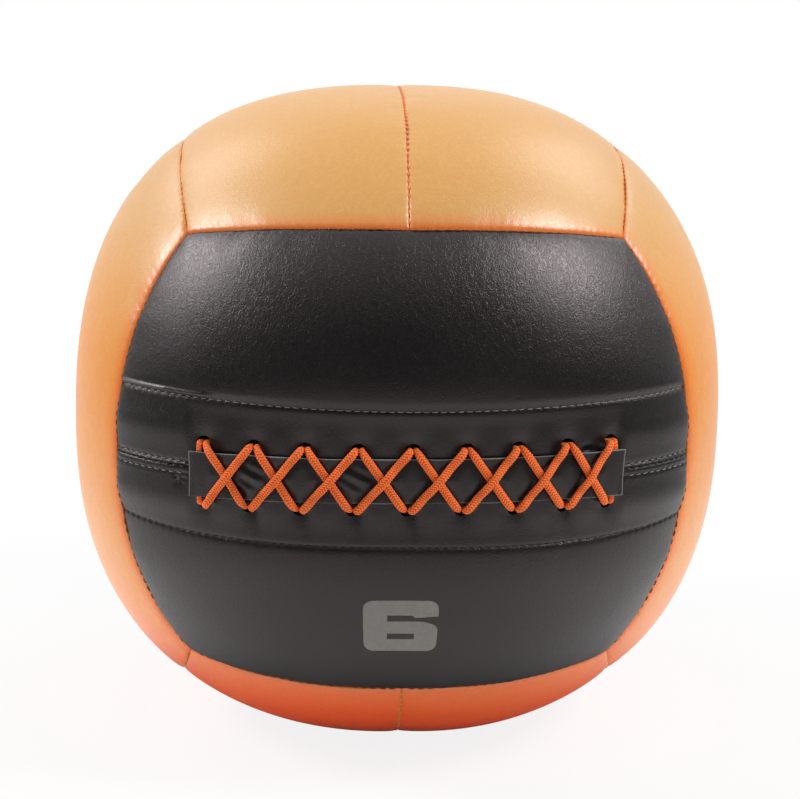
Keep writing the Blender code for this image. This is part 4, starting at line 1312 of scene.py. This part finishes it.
def make_lace():
    """The braided lace: an oval section carried along its route, with the braid's relief sunk into it."""
    line, run = lace_line()
    centres, widths = line[:, :3], line[:, 3:6]
    forward = unit(np.gradient(centres, axis=0))
    widths = unit(widths - forward * (widths * forward).sum(-1, keepdims=True))
    depths = np.cross(forward, widths)
    turn = (np.arange(LACE_SIDES) + 0.5) / LACE_SIDES
    height = braid_height(turn, run[:, None])
    sink = BRAID_DEPTH * (1 - height)
    wide, thick = line[:, 7:8] - sink, line[:, 8:9] - sink
    rings = centres[:, None] + (np.cos(turn * math.tau) * wide)[..., None] * widths[:, None]
    rings += (np.sin(turn * math.tau) * thick)[..., None] * depths[:, None]
    rows = np.concatenate((centres[:1, None].repeat(LACE_SIDES, 1), rings, centres[-1:, None].repeat(LACE_SIDES, 1)))
    points, faces = turned(rows)
    mesh = build_mesh("braided_lace", points, *faces, raised=np.concatenate(([0.5], height.ravel(), [0.5])))
    add_piece(mesh, "lace_cord", "lace")


def make_knot():
    """The flat knot under the strip: a squashed ball whose surface is wound with rising and falling cords."""
    outward = laced_direction(float(HOLES[0]) - LACE_SPREAD, 0.0)
    sideways = unit(np.cross((0.0, 0.0, 1.0), outward))
    axes = np.stack((sideways, np.cross(outward, sideways), outward))
    tilt = np.linspace(-math.pi / 2, math.pi / 2, KNOT_GRID[0] + 1)[:, None]
    turn = np.linspace(0, math.tau, KNOT_GRID[1], endpoint=False)
    cords = np.abs(np.sin(2.5 * tilt + 1.5 * np.sin(turn)))
    strands = braid_height((turn / math.tau * 2 + 0 * tilt) % 1, (tilt + 0.2 * turn) * 4 * MM)
    shell = 1 - 0.2 * (1 - np.sqrt(cords)) - 0.06 * (1 - strands)
    centre = body_point(outward, -(LAYER_GAP + KNOT_RADII[2]))
    points, faces = turned(centre + (directions_round(tilt, turn) * shell[..., None] * KNOT_RADII) @ axes)
    raised = np.concatenate(([0.5], (strands * cords)[1:-1].ravel(), [0.5]))
    add_piece(build_mesh("tied_knot", points, *faces, raised=raised), "lace_cord", "lace_knot")


def strip_puff(along, rise):
    """How far the strip stands up between the strands that hold it down, and curls at its corners."""
    pair = np.interp(along, HOLES, np.arange(HOLE_PAIRS))
    part, share = pair - np.floor(pair), (rise / STRAND_RISE + 1) / 2
    nearest = np.minimum(np.abs(part - share), np.abs(part - (1 - share))) * HOLE_PITCH * 0.75
    puff = 0.9 * MM * (1 - bell(nearest / (4.2 * MM)))
    puff -= CROSSING_PRESS * bell(np.hypot((part - 0.5) * HOLE_PITCH, rise) / (4 * MM))
    ripple = 0.42 * MM * np.sin((rise + 0.55 * along) / (1.15 * MM)) * bell(rise / (7 * MM))
    ripple *= bell((pair - 1.05) / 0.33) + bell((pair - 3.05) / 0.33)
    held = 1 - smooth_step((np.abs(along) - 92 * MM) / (6 * MM))
    curl = smooth_step((np.abs(along) - 101 * MM) / (9 * MM)) * (rise / STRIP_HALF_WIDTH) ** 2
    return (puff + np.maximum(ripple, -puff)) * held + 1.6 * MM * curl


def make_strip():
    """The strip under the lace: a long thin body that puffs between the strands, with a pale cut edge that is partly
    its raw edge and partly a painted highlight.
    """
    along = np.linspace(-STRIP_HALF_LENGTH, STRIP_HALF_LENGTH, STRIP_GRID[1] + 1)
    half = STRIP_HALF_WIDTH - 0.25 * MM * (0.5 + 0.5 * np.sin(along / (9 * MM)))
    along, rise = np.broadcast_arrays(along, stations(STRIP_GRID[0], 0.3)[:, None] * half)
    out = LAYER_GAP + strip_lift(along) + strip_puff(along, rise)
    direction = laced_direction(along, rise)
    under = body_point(direction, -out)
    walls = walls_between(body_point(direction, -(out + STRIP)), under, 0.25, 0.75)
    inset_along, inset_rise = 1 - STRIP_ROUND / STRIP_HALF_LENGTH, 1 - STRIP_ROUND / STRIP_HALF_WIDTH
    top = body_point(laced_direction(along * inset_along, rise * inset_rise), -(out + STRIP))
    points, faces = lidded(top, walls, under)
    edge = np.minimum(STRIP_HALF_WIDTH - np.abs(rise), STRIP_HALF_LENGTH - np.abs(along))
    count, inside = len(points), np.zeros(len(points))
    # seam carries the painted highlight along the strip's edges. cut carries its pale edge, which is partly the raw
    # edge and partly a painted highlight.
    seam, cut = filled_out(edge * 1.6 + 0.2 * MM, count), filled_out(bell(edge / (0.25 * MM)), count, 1.0)
    inside[-edge.size :], cut[-edge.size :] = 1, 0
    mesh = build_mesh("cover_strip", points, *faces, sharp=STRIP_SHARP_ANGLE, seam=seam, inside=inside, cut=cut)
    add_piece(mesh, "black_leather", "lace_cover_strip")


def make_facing(name, side):
    """The leather behind one lip of the slit, punched with the same holes: a thin body between two depths."""
    u = stations(FACING_GRID[1]) * (1 - FACING_MARGIN / (BALL_RADIUS * math.atan(end_edge(0))))
    inset = front_v(u, FACING_SETBACK)
    lip = front_v(u, slit_half_gap(u)) + inset
    u, v = on_side(side, u, lip + (hem_v(side, u) - inset - lip) * shares(FACING_GRID[0]))
    top, under = (panel_point("front", side, u, v, depth)[0] for depth in FACING_DEPTHS)
    points, faces = lidded(top, walls_between(top, under, 0.2, 0.8), under)
    plain = {"seam": np.full(len(points), 20 * MM), "inside": np.zeros(len(points))}
    piece = add_piece(build_mesh(f"{name}_leather", points, *faces, **plain), "black_leather", name)
    punch_holes(piece, side)


# Stitches


def stitch_row(name, places, thread, length, radius, sink):
    """A row of stitches along a line of places: small round bodies whose ends dive into the leather."""
    forward = unit(np.gradient(places, axis=0))
    sideways = unit(np.cross(forward, unit(places - CENTRE)))
    outward = np.cross(sideways, forward)
    clear = places[:, 2] > radius + 0.2 * MM
    places, forward, sideways, outward = (array[clear] for array in (places, forward, sideways, outward))
    girth = radius * np.sqrt(np.clip(1 - STITCH_STEPS**6, 0, 1))
    spine = places[:, None] + forward[:, None] * (STITCH_STEPS * length / 2)[:, None]
    spine += outward[:, None] * (radius * (0.6 - 1.1 * STITCH_STEPS**4) - sink)[:, None]
    cosine, sine = circle(STITCH_SIDES).T[..., None]
    around = cosine * sideways[:, None] - sine * outward[:, None]
    rings = spine[:, :, None] + girth[:, None, None] * around[:, None]
    shell = rings[:, 1:-1].reshape(len(places), -1, 3)
    points = np.concatenate((rings[:, :1].mean(2), shell, rings[:, -1:].mean(2)), axis=1)
    first = (np.arange(len(places)) * points.shape[1])[:, None, None]
    quads, caps = turned_faces(len(STITCH_STEPS), STITCH_SIDES)
    mesh = build_mesh(name, points.reshape(-1, 3), (quads + first).reshape(-1, 4), (caps + first).reshape(-1, 3))
    add_piece(mesh, thread)


def even_places(pitch, start, end):
    """Where stitches of one pitch lie between two places along a run, centred on its zero."""
    return np.arange(math.ceil(start / pitch), math.floor(end / pitch) + 1) * pitch


def seam_runs(table):
    """The run of each stitch of a closed seam, which stops one stitch short of both ends."""
    pitch = sewing().seam_pitch
    return even_places(pitch, table[0] + pitch, table[-1] - pitch)


def make_outer_seam(face, end):
    """The stitches of the seam at one end of a face, where it meets the side of the next face."""
    v = np.interp(seam_runs(OUTER_RUN), OUTER_RUN, RUN_AT)
    places, _ = panel_point(face, 1, np.full(v.shape, float(end)), v)
    thread = "orange_thread" if face in ("left", "right") else "rust_thread"
    name = f"seam_thread_{face}_{'far' if end > 0 else 'near'}"
    stitch_row(name, places, thread, sewing().seam_pitch * SEAM_STITCH_SHARE, *OUTER_THREAD)


def make_middle_seam(face):
    """The stitches of a face's mid seam, which on the front is only at both ends of the slit."""
    run = seam_runs(MIDDLE_RUN)
    if face == "front":
        run = run[np.abs(run) > SLIT_SEAM_START]
    u = np.interp(run, MIDDLE_RUN, RUN_AT)
    places, _ = panel_point(face, 1, u, 0.0 * u)
    thread = "black_thread" if face in BLACK_FACES else "orange_thread"
    length = sewing().seam_pitch * SEAM_STITCH_SHARE
    stitch_row(f"seam_thread_{face}_middle", places, thread, length, *MIDDLE_THREAD)


def front_row(name, side, along, rise, thread, radius=0.31 * MM):
    """A row of topstitches on the front at some height from the slit."""
    direction = front_direction(along, side * rise)
    places = body_point(direction, 0.0, front_fall(side, direction))
    stitch_row(name, places, thread, sewing().hem_pitch * HEM_STITCH_SHARE, radius, HEM_SINK)


def make_hems():
    """The topstitching of both hems and of the mid seam past the strip's ends."""
    pitch = sewing().hem_pitch
    along = even_places(pitch, -ROW_END, ROW_END)
    # The upper hem and both rows along the mid seam are dark thread painted grey as a highlight. The lower hem is plain
    # black thread.
    front_row("hem_thread_upper", 1, along, hem_rise(1, along), "grey_thread")
    front_row("hem_thread_lower", -1, along, hem_rise(-1, along), "black_thread", 0.24 * MM)
    for end, label in ((-1, "left"), (1, "right")):
        along = end * even_places(pitch, TOP_ROW_START, ROW_END)
        front_row(f"top_thread_upper_{label}", 1, along, TOP_ROWS[1] + 0 * along, "grey_thread")
        front_row(f"top_thread_lower_{label}", -1, along, TOP_ROWS[-1] + 0 * along, "grey_thread", 0.3 * MM)


# The numeral


def numeral_levels(x):
    """The heights of a block 6 at places across it: its foot, counter, bar, slot and head, its corners rounded."""
    wide, tall = NUMERAL_SIZE
    corner = 5.6 * MM
    off = np.clip(1 - np.minimum(x, wide - x) / corner, 0, 1)
    foot = corner * 0.85 * (1 - np.sqrt(1 - off**2.2))
    bowl = 4.6 * MM * (1 - np.sqrt(1 - np.clip((x - 27.5 * MM) / (11 * MM), 0, 1) ** 2))
    slit = 1.3 * MM * smooth_step((x - 25 * MM) / (2 * MM)) - 0.09 * np.clip(x - 27 * MM, 0, None)
    ends = [foot, 7.2 * MM + 0 * x, 10.4 * MM + 0 * x, 17.4 * MM - bowl, 20.7 * MM - slit, tall - foot]
    return np.stack(ends)


def make_numeral():
    """The printed numeral: a grid between its levels, without the cells of its counter and slot, 0.14 mm thick."""
    left, right = NUMERAL_COUNTER
    stops = (0, left, right, NUMERAL_SIZE[0])
    columns = [np.linspace(*ends, endpoint=False) for ends in zip(stops, stops[1:], (27, 25, 27))]
    x = np.concatenate((*columns, stops[-1:]))
    levels, steps = numeral_levels(x), (16, 6, 14, 6, 16)
    share = [np.arange(n)[:, None] / n for n in steps]
    rows = [levels[i] * (1 - share[i]) + levels[i + 1] * share[i] for i in range(len(steps))]
    y = np.concatenate((*rows, levels[-1:]))
    zone = np.repeat(np.arange(len(steps)), steps)[:, None]
    middle = (x[1:] + x[:-1]) / 2
    cut = (zone == 1) & (middle > left) & (middle < right) | (zone == 3) & (middle > left)
    used, quads = np.unique(grid_faces(*y.shape)[~cut.ravel()], return_inverse=True)
    quads = quads.reshape(-1, 4)
    x, y = np.broadcast_to(x, y.shape).ravel()[used], y.ravel()[used]
    direction = front_direction(x + NUMERAL_PLACE[0], y + NUMERAL_PLACE[1])
    fall = front_fall(-1, direction)
    top, under = body_point(direction, -0.09 * MM, fall), body_point(direction, 0.05 * MM, fall)
    count = len(used)
    first, second = quads.ravel(), np.roll(quads, -1, axis=1).ravel()
    rim = ~np.isin(first * count + second, second * count + first)
    first, second = first[rim], second[rim]
    walls = np.stack((first, first + count, second + count, second), axis=-1)
    faces = np.concatenate((quads, quads[:, ::-1] + count, walls))
    add_piece(build_mesh("printed_numeral", np.concatenate((top, under)), faces), "numeral_ink")


# The filling


def lay_flat(mesh, radius):
    """Stores the UV map that lays a weave over a round body: two numbers, in metres, for each point."""
    points = np.zeros(len(mesh.vertices) * 3, np.float32)
    mesh.vertices.foreach_get("co", points)
    middle = points.reshape(-1, 3) - CENTRE
    places = middle[:, :2] * (1 + np.abs(middle[:, 2:]) / radius / 2)
    corners = np.zeros(len(mesh.loops), np.int32)
    mesh.loops.foreach_get("vertex_index", corners)
    mesh.uv_layers.new(name="flat").data.foreach_set("uv", places[corners].astype(np.float32).ravel())


def rim_steps(shape):
    """How many steps each point of a grid is from its nearest side."""
    rows, columns = (np.minimum(np.arange(size), np.arange(size)[::-1]) for size in shape)
    return np.minimum(rows[:, None], columns)


def make_foam(name, face, side):
    """The foam pad behind a panel: a soft-edged body between two depths, its rim rounded by a quarter circle."""
    margin = FOAM_MARGIN / FACE_REACH
    u = stations(FOAM_GRID[1]) * (1 - margin)
    low = front_v(u, BAND_HALF_WIDTH + FACING_SETBACK) if face == "front" else np.full(u.shape, margin)
    u, v = on_side(side, u, low + (1 - margin - low) * shares(FOAM_GRID[0]))
    outer, inner = FOAM_DEPTHS
    rim = np.minimum(1, rim_steps(v.shape) / 2)
    soft = FOAM_EDGE * (1 - np.sqrt(np.clip(1 - (1 - rim) ** 2, 0, 1)))
    lumps = 0.25 * MM * (1 + np.sin(40 * u + 3 * side) * np.sin(31 * v)) / 2
    top, _ = panel_point(face, side, u, v, outer + soft + lumps)
    under, _ = panel_point(face, side, u, v, inner - soft)
    depths = [outer + FOAM_EDGE + (inner - outer - 2 * FOAM_EDGE) * share for share in (0.35, 0.65)]
    walls = [panel_point(face, side, border(u), border(v), depth)[0] for depth in depths]
    points, faces = lidded(top, walls, under)
    add_piece(build_mesh(f"{name}_foam_pad", points, *faces), "foam", f"{name}_foam", fill=0.95)


def dome_rows(side, depth):
    """Rows of points over half the ball at some depth, from its pole down to its rim."""
    tilt = np.linspace(math.pi / 2, math.asin(LAYER_GAP / 2 / BALL_RADIUS), DOME_ROWS)[:, None]
    direction = directions_round(tilt, np.arange(ROUND_COLUMNS) * math.tau / ROUND_COLUMNS) * (1, 1, side)
    points = body_point(direction, depth, draw=LINER_DRAW)
    points[-1, :, 2] = CENTRE_HEIGHT + side * LAYER_GAP / 2
    return points


def make_liner(name, side):
    """Half of the cloth bag round the stuffing: a dome of points, and the same dome a cloth's thickness in."""
    rows = np.concatenate((dome_rows(side, LINER_DEPTH), dome_rows(side, LINER_DEPTH + LINER)[::-1]))
    points, faces = turned(rows[:, ::side], flip=True)
    mesh = build_mesh(f"{name}_cloth", points, *faces, sharp=SHARP_ANGLE)
    lay_flat(mesh, BALL_RADIUS)
    add_piece(mesh, "liner_cloth", name)


def round_profile(profile, pleats=0.0):
    """A profile of (radius, height) carried round the upright axis, its radius drawn in by pleats."""
    radii, heights = np.array(profile).T[..., None]
    cosine, sine = circle(ROUND_COLUMNS).T
    radii = radii - pleats
    return np.stack((radii * cosine, radii * sine, heights + CENTRE_HEIGHT + 0 * sine), axis=-1)


def make_stuffing(name, side):
    """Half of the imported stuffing: the liner's dome from inside, a flat rim, and the hollow for the core."""
    hollow = CORE_RADIUS + LAYER_GAP
    if side > 0:
        pocket = NECK_RADIUS + 2 * TIE_RADIUS + LAYER_GAP + 1 * MM
        low, top = math.asin(pocket / hollow), CORE_RADIUS + NECK_HEIGHT + 1 * MM
        profile = [(hollow * math.sin(a), hollow * math.cos(a)) for a in np.linspace(math.pi / 2, low, 24)]
        profile += [(pocket, z) for z in np.linspace(hollow * math.cos(low), top, 8)[1:]]
        profile += [(pocket * share, top) for share in (0.66, 0.33, 0)]
    else:
        profile = [(hollow * math.sin(a), -hollow * math.cos(a)) for a in np.linspace(math.pi / 2, 0, 30)]
    profile[0] = (hollow, side * LAYER_GAP / 2)
    outer, inner = dome_rows(side, LINER_DEPTH + LINER + LAYER_GAP + 0.1 * MM), round_profile(profile)
    share = np.linspace(0, 1, 12)[1:-1, None, None]
    rows = np.concatenate((outer, outer[-1] * (1 - share) + inner[0] * share, inner))
    points, faces = turned(rows[:, ::side], flip=True)
    mesh = build_mesh(f"{name}_fibre", points, *faces, sharp=SHARP_ANGLE)
    add_piece(mesh, "stuffing_fibre", name, fill=1.0)


def core_arc(radius, opening):
    """A ball's section as (radius, height), from an opening at its top down to its foot."""
    angles = np.linspace(math.asin(opening / radius), math.pi, ARC_POINTS)
    return [(radius * math.sin(a), radius * math.cos(a)) for a in angles]


def make_core_bag():
    """The canvas bag of sand: down its outside from its gathered neck and up its inside, with pleats."""
    mouth = CORE_RADIUS + NECK_HEIGHT
    outside = [(NECK_RADIUS, z) for z in np.linspace(mouth, CORE_RADIUS + 3 * MM, 9)]
    outside += core_arc(CORE_RADIUS, NECK_RADIUS)
    inside = core_arc(CORE_RADIUS - CORE_CLOTH, NECK_BORE)[::-1]
    inside += [(NECK_BORE, z) for z in np.linspace(CORE_RADIUS, mouth, 7)]
    radii, heights = np.array(outside + inside).T[..., None]
    gathered = (np.arange(len(radii))[:, None] < len(outside)) & (radii > NECK_RADIUS * 0.9)
    near = smooth_step((heights - (CORE_RADIUS - 24 * MM)) / (26 * MM)) * gathered
    turn = np.arange(ROUND_COLUMNS) * math.tau / ROUND_COLUMNS
    pleats = 0.8 * MM * near * (0.5 + 0.5 * np.cos(18 * turn))
    mesh = build_mesh("sand_bag", *looped(round_profile(outside + inside, pleats)))
    body = bmesh.new()
    body.from_mesh(mesh)
    bmesh.ops.remove_doubles(body, verts=body.verts, dist=0.002 * MM)
    bmesh.ops.recalc_face_normals(body, faces=body.faces)
    body.to_mesh(mesh)
    body.free()
    lay_flat(mesh, CORE_RADIUS)
    mesh.set_sharp_from_angle(angle=math.radians(SHARP_ANGLE))
    add_piece(mesh, "core_canvas", "core_bag")


def make_sand():
    """The sand: a ball of points with slow dents where it has settled."""
    tilt = np.linspace(math.pi / 2, -math.pi / 2, SAND_GRID[0] + 1)[:, None]
    turn = np.arange(SAND_GRID[1]) * math.tau / SAND_GRID[1]
    dent = 0.25 * MM * (0.5 + 0.5 * np.sin(9 * turn) * np.sin(7 * tilt))
    reach = CORE_RADIUS - CORE_CLOTH - LAYER_GAP - dent
    points, faces = turned(CENTRE + reach[..., None] * directions_round(tilt, turn), flip=True)
    add_piece(build_mesh("sand_fill", points, *faces), "sand", "core_sand", fill=1.0)


def make_tie():
    """The tie round the bag's neck: a rounded square section carried round it, notched on its outside."""
    height = CENTRE_HEIGHT + CORE_RADIUS + NECK_HEIGHT * 0.4
    section = circle(TIE_GRID[1])
    across, upward = TIE_RADIUS * (np.sign(section) * np.abs(section) ** 0.6).T
    turn = (np.arange(TIE_GRID[0]) * math.tau / TIE_GRID[0])[:, None]
    notch = 0.12 * MM * (0.5 + 0.5 * np.sign(np.sin(45 * turn))) * np.clip(section[:, 0], 0, 1)
    radius = NECK_RADIUS + TIE_RADIUS + LAYER_GAP + across * 0.9 - notch
    rows = np.stack((radius * np.cos(turn), radius * np.sin(turn), height + upward + 0 * turn), axis=-1)
    add_piece(build_mesh("neck_tie", *looped(rows)), "tie_plastic", "core_tie")


# The studio


def make_floor():
    """A wide pale floor that keeps the ball's shadow and turns into the white of the background."""
    reach = np.geomspace(*FLOOR_REACH, FLOOR_GRID[0])
    rings = reach[:, None, None] * np.insert(circle(FLOOR_GRID[1]), 2, 0, axis=1)
    at = 1 + np.arange(rings.shape[0] * rings.shape[1]).reshape(rings.shape[:2])
    fan = np.stack((0 * at[0], at[0], np.roll(at[0], -1)), axis=-1)
    points = np.concatenate((np.zeros((1, 3)), rings.reshape(-1, 3)))
    mesh = build_mesh("studio_floor", points, round_quads(at), fan)
    mesh.materials.append(material("pale_floor"))
    add_object("studio_floor", mesh)


def make_world(studio):
    """White for the camera and for glass, and for glosses too except low down at the front, where the room is dim."""
    world = bpy.data.worlds.new("white_room")
    bpy.context.scene.world = world
    world.use_nodes = True
    tree = world.node_tree
    shader = tree.nodes["Background"]
    shader.inputs["Color"].default_value = (1, 1, 1, 1)
    way = node(tree, "ShaderNodeTexCoord").outputs["Generated"]
    behind = maths(tree, "MULTIPLY_ADD", axis(tree, way, "Y"), 0.6, axis(tree, way, "Z"))
    path = node(tree, "ShaderNodeLightPath").outputs
    room = blend(tree, path["Is Glossy Ray"], 1.0, ramp(tree, behind, 0.0, 0.6, DIM_ROOM, 1.0))
    tree.links.new(blend(tree, seen_plainly(tree, path), studio.fill, room), shader.inputs["Strength"])


def add_facing(name, data, place, toward, roll=0.0):
    """Puts a lamp or a camera in the scene, looking one way."""
    item = add_object(name, data)
    item.location = place
    item.rotation_mode = "QUATERNION"
    item.rotation_quaternion = Vector(toward).to_track_quat("-Z", "Y") @ Quaternion((0, 0, 1), roll)
    return item


def make_lamps(studio):
    """Square area lamps that face the ball from both sides and from behind."""
    for name, place, size, power in LAMPS:
        lamp = bpy.data.lights.new(name, "AREA")
        lamp.shape, lamp.size, lamp.energy = "SQUARE", size, getattr(studio, power)
        add_facing(name, lamp, place, np.subtract(LAMP_AIM, place))


def make_camera(studio):
    """The camera at the photograph's angle, a little turned and shifted to its framing."""
    camera = bpy.data.cameras.new("photo_camera")
    camera.lens, camera.sensor_width = studio.lens, SENSOR_WIDTH
    camera.shift_x, camera.shift_y = CAMERA_SHIFT
    camera.clip_start, camera.clip_end = CAMERA_CLIP
    tilt, turn = studio.elevation, studio.azimuth
    back = Vector((math.sin(turn) * math.cos(tilt), -math.cos(turn) * math.cos(tilt), math.sin(tilt)))
    place = Vector((0, 0, CENTRE_HEIGHT)) + back * studio.distance
    bpy.context.scene.camera = add_facing("photo_camera", camera, place, -back, studio.roll)


# The operators


class BALL_OT_sew_panels(bpy.types.Operator):
    """Sews the twelve panels of the cover"""

    bl_idname = "ball.sew_panels"
    bl_label = "Sew the panels"

    def execute(self, context):
        for name, face, side in PANELS:
            make_panel(name, face, side)
        return {"FINISHED"}


class BALL_OT_stitch_seams(bpy.types.Operator):
    """Lays the threads of the seams, the hems and the topstitching"""

    bl_idname = "ball.stitch_seams"
    bl_label = "Stitch the seams"

    def execute(self, context):
        for face in FACES:
            make_outer_seam(face, -1)
            make_outer_seam(face, 1)
        for face in FACES:
            make_middle_seam(face)
        make_hems()
        return {"FINISHED"}


class BALL_OT_cut_facings(bpy.types.Operator):
    """Cuts the two facings behind the slit"""

    bl_idname = "ball.cut_facings"
    bl_label = "Cut the facings"

    def execute(self, context):
        make_facing("upper_lace_facing", 1)
        make_facing("lower_lace_facing", -1)
        return {"FINISHED"}


class BALL_OT_lace_slit(bpy.types.Operator):
    """Laces the slit over its strip and ties the knot"""

    bl_idname = "ball.lace_slit"
    bl_label = "Lace the slit"

    def execute(self, context):
        make_strip()
        make_lace()
        make_knot()
        return {"FINISHED"}


class BALL_OT_print_numeral(bpy.types.Operator):
    """Prints the numeral on the lower front panel"""

    bl_idname = "ball.print_numeral"
    bl_label = "Print the numeral"

    def execute(self, context):
        make_numeral()
        return {"FINISHED"}


class BALL_OT_fill_cover(bpy.types.Operator):
    """Puts in the foam pads, the liner and the stuffing"""

    bl_idname = "ball.fill_cover"
    bl_label = "Fill the cover"

    def execute(self, context):
        for name, face, side in PANELS:
            make_foam(name, face, side)
        for label, side in (("upper", 1), ("lower", -1)):
            make_liner(f"liner_{label}_half", side)
            make_stuffing(f"stuffing_{label}_half", side)
        return {"FINISHED"}


class BALL_OT_tie_core(bpy.types.Operator):
    """Fills the core's bag with sand and ties its neck"""

    bl_idname = "ball.tie_core"
    bl_label = "Tie the core"

    def execute(self, context):
        make_core_bag()
        make_sand()
        make_tie()
        return {"FINISHED"}


class BALL_OT_set_stage(bpy.types.Operator):
    """Lays the floor and sets the lights and the camera"""

    bl_idname = "ball.set_stage"
    bl_label = "Set the stage"

    def execute(self, context):
        studio = context.scene.ball_studio
        context.scene.view_settings.view_transform = "Standard"
        make_floor()
        make_world(studio)
        make_lamps(studio)
        make_camera(studio)
        return {"FINISHED"}


OPERATORS = (
    BALL_OT_sew_panels,
    BALL_OT_stitch_seams,
    BALL_OT_cut_facings,
    BALL_OT_lace_slit,
    BALL_OT_print_numeral,
    BALL_OT_fill_cover,
    BALL_OT_tie_core,
    BALL_OT_set_stage,
)


GROUPS = {"ball_sewing": BallSewing, "ball_colours": BallColours, "ball_studio": BallStudio}


class VIEW3D_PT_wall_ball(bpy.types.Panel):
    """The steps and the sizes of the wall ball"""

    bl_label = "Wall ball"
    bl_space_type = "VIEW_3D"
    bl_region_type = "UI"
    bl_category = "Wall ball"

    def draw(self, context):
        for operator in OPERATORS:
            self.layout.operator(operator.bl_idname)
        for group_name in GROUPS:
            group = getattr(context.scene, group_name)
            for name in group.bl_rna.properties.keys():
                if name not in ("rna_type", "name"):
                    self.layout.prop(group, name)


CLASSES = (*GROUPS.values(), *OPERATORS, VIEW3D_PT_wall_ball)


def register():
    for item in CLASSES:
        bpy.utils.register_class(item)
    for name, group in GROUPS.items():
        setattr(bpy.types.Scene, name, bpy.props.PointerProperty(type=group))


def unregister():
    for name in GROUPS:
        delattr(bpy.types.Scene, name)
    for item in reversed(CLASSES):
        bpy.utils.unregister_class(item)


def main():
    """Builds the ball piece by piece."""
    register()
    for operator in OPERATORS:
        group, name = operator.bl_idname.split(".")
        getattr(getattr(bpy.ops, group), name)()


if __name__ == "__main__":
    main()
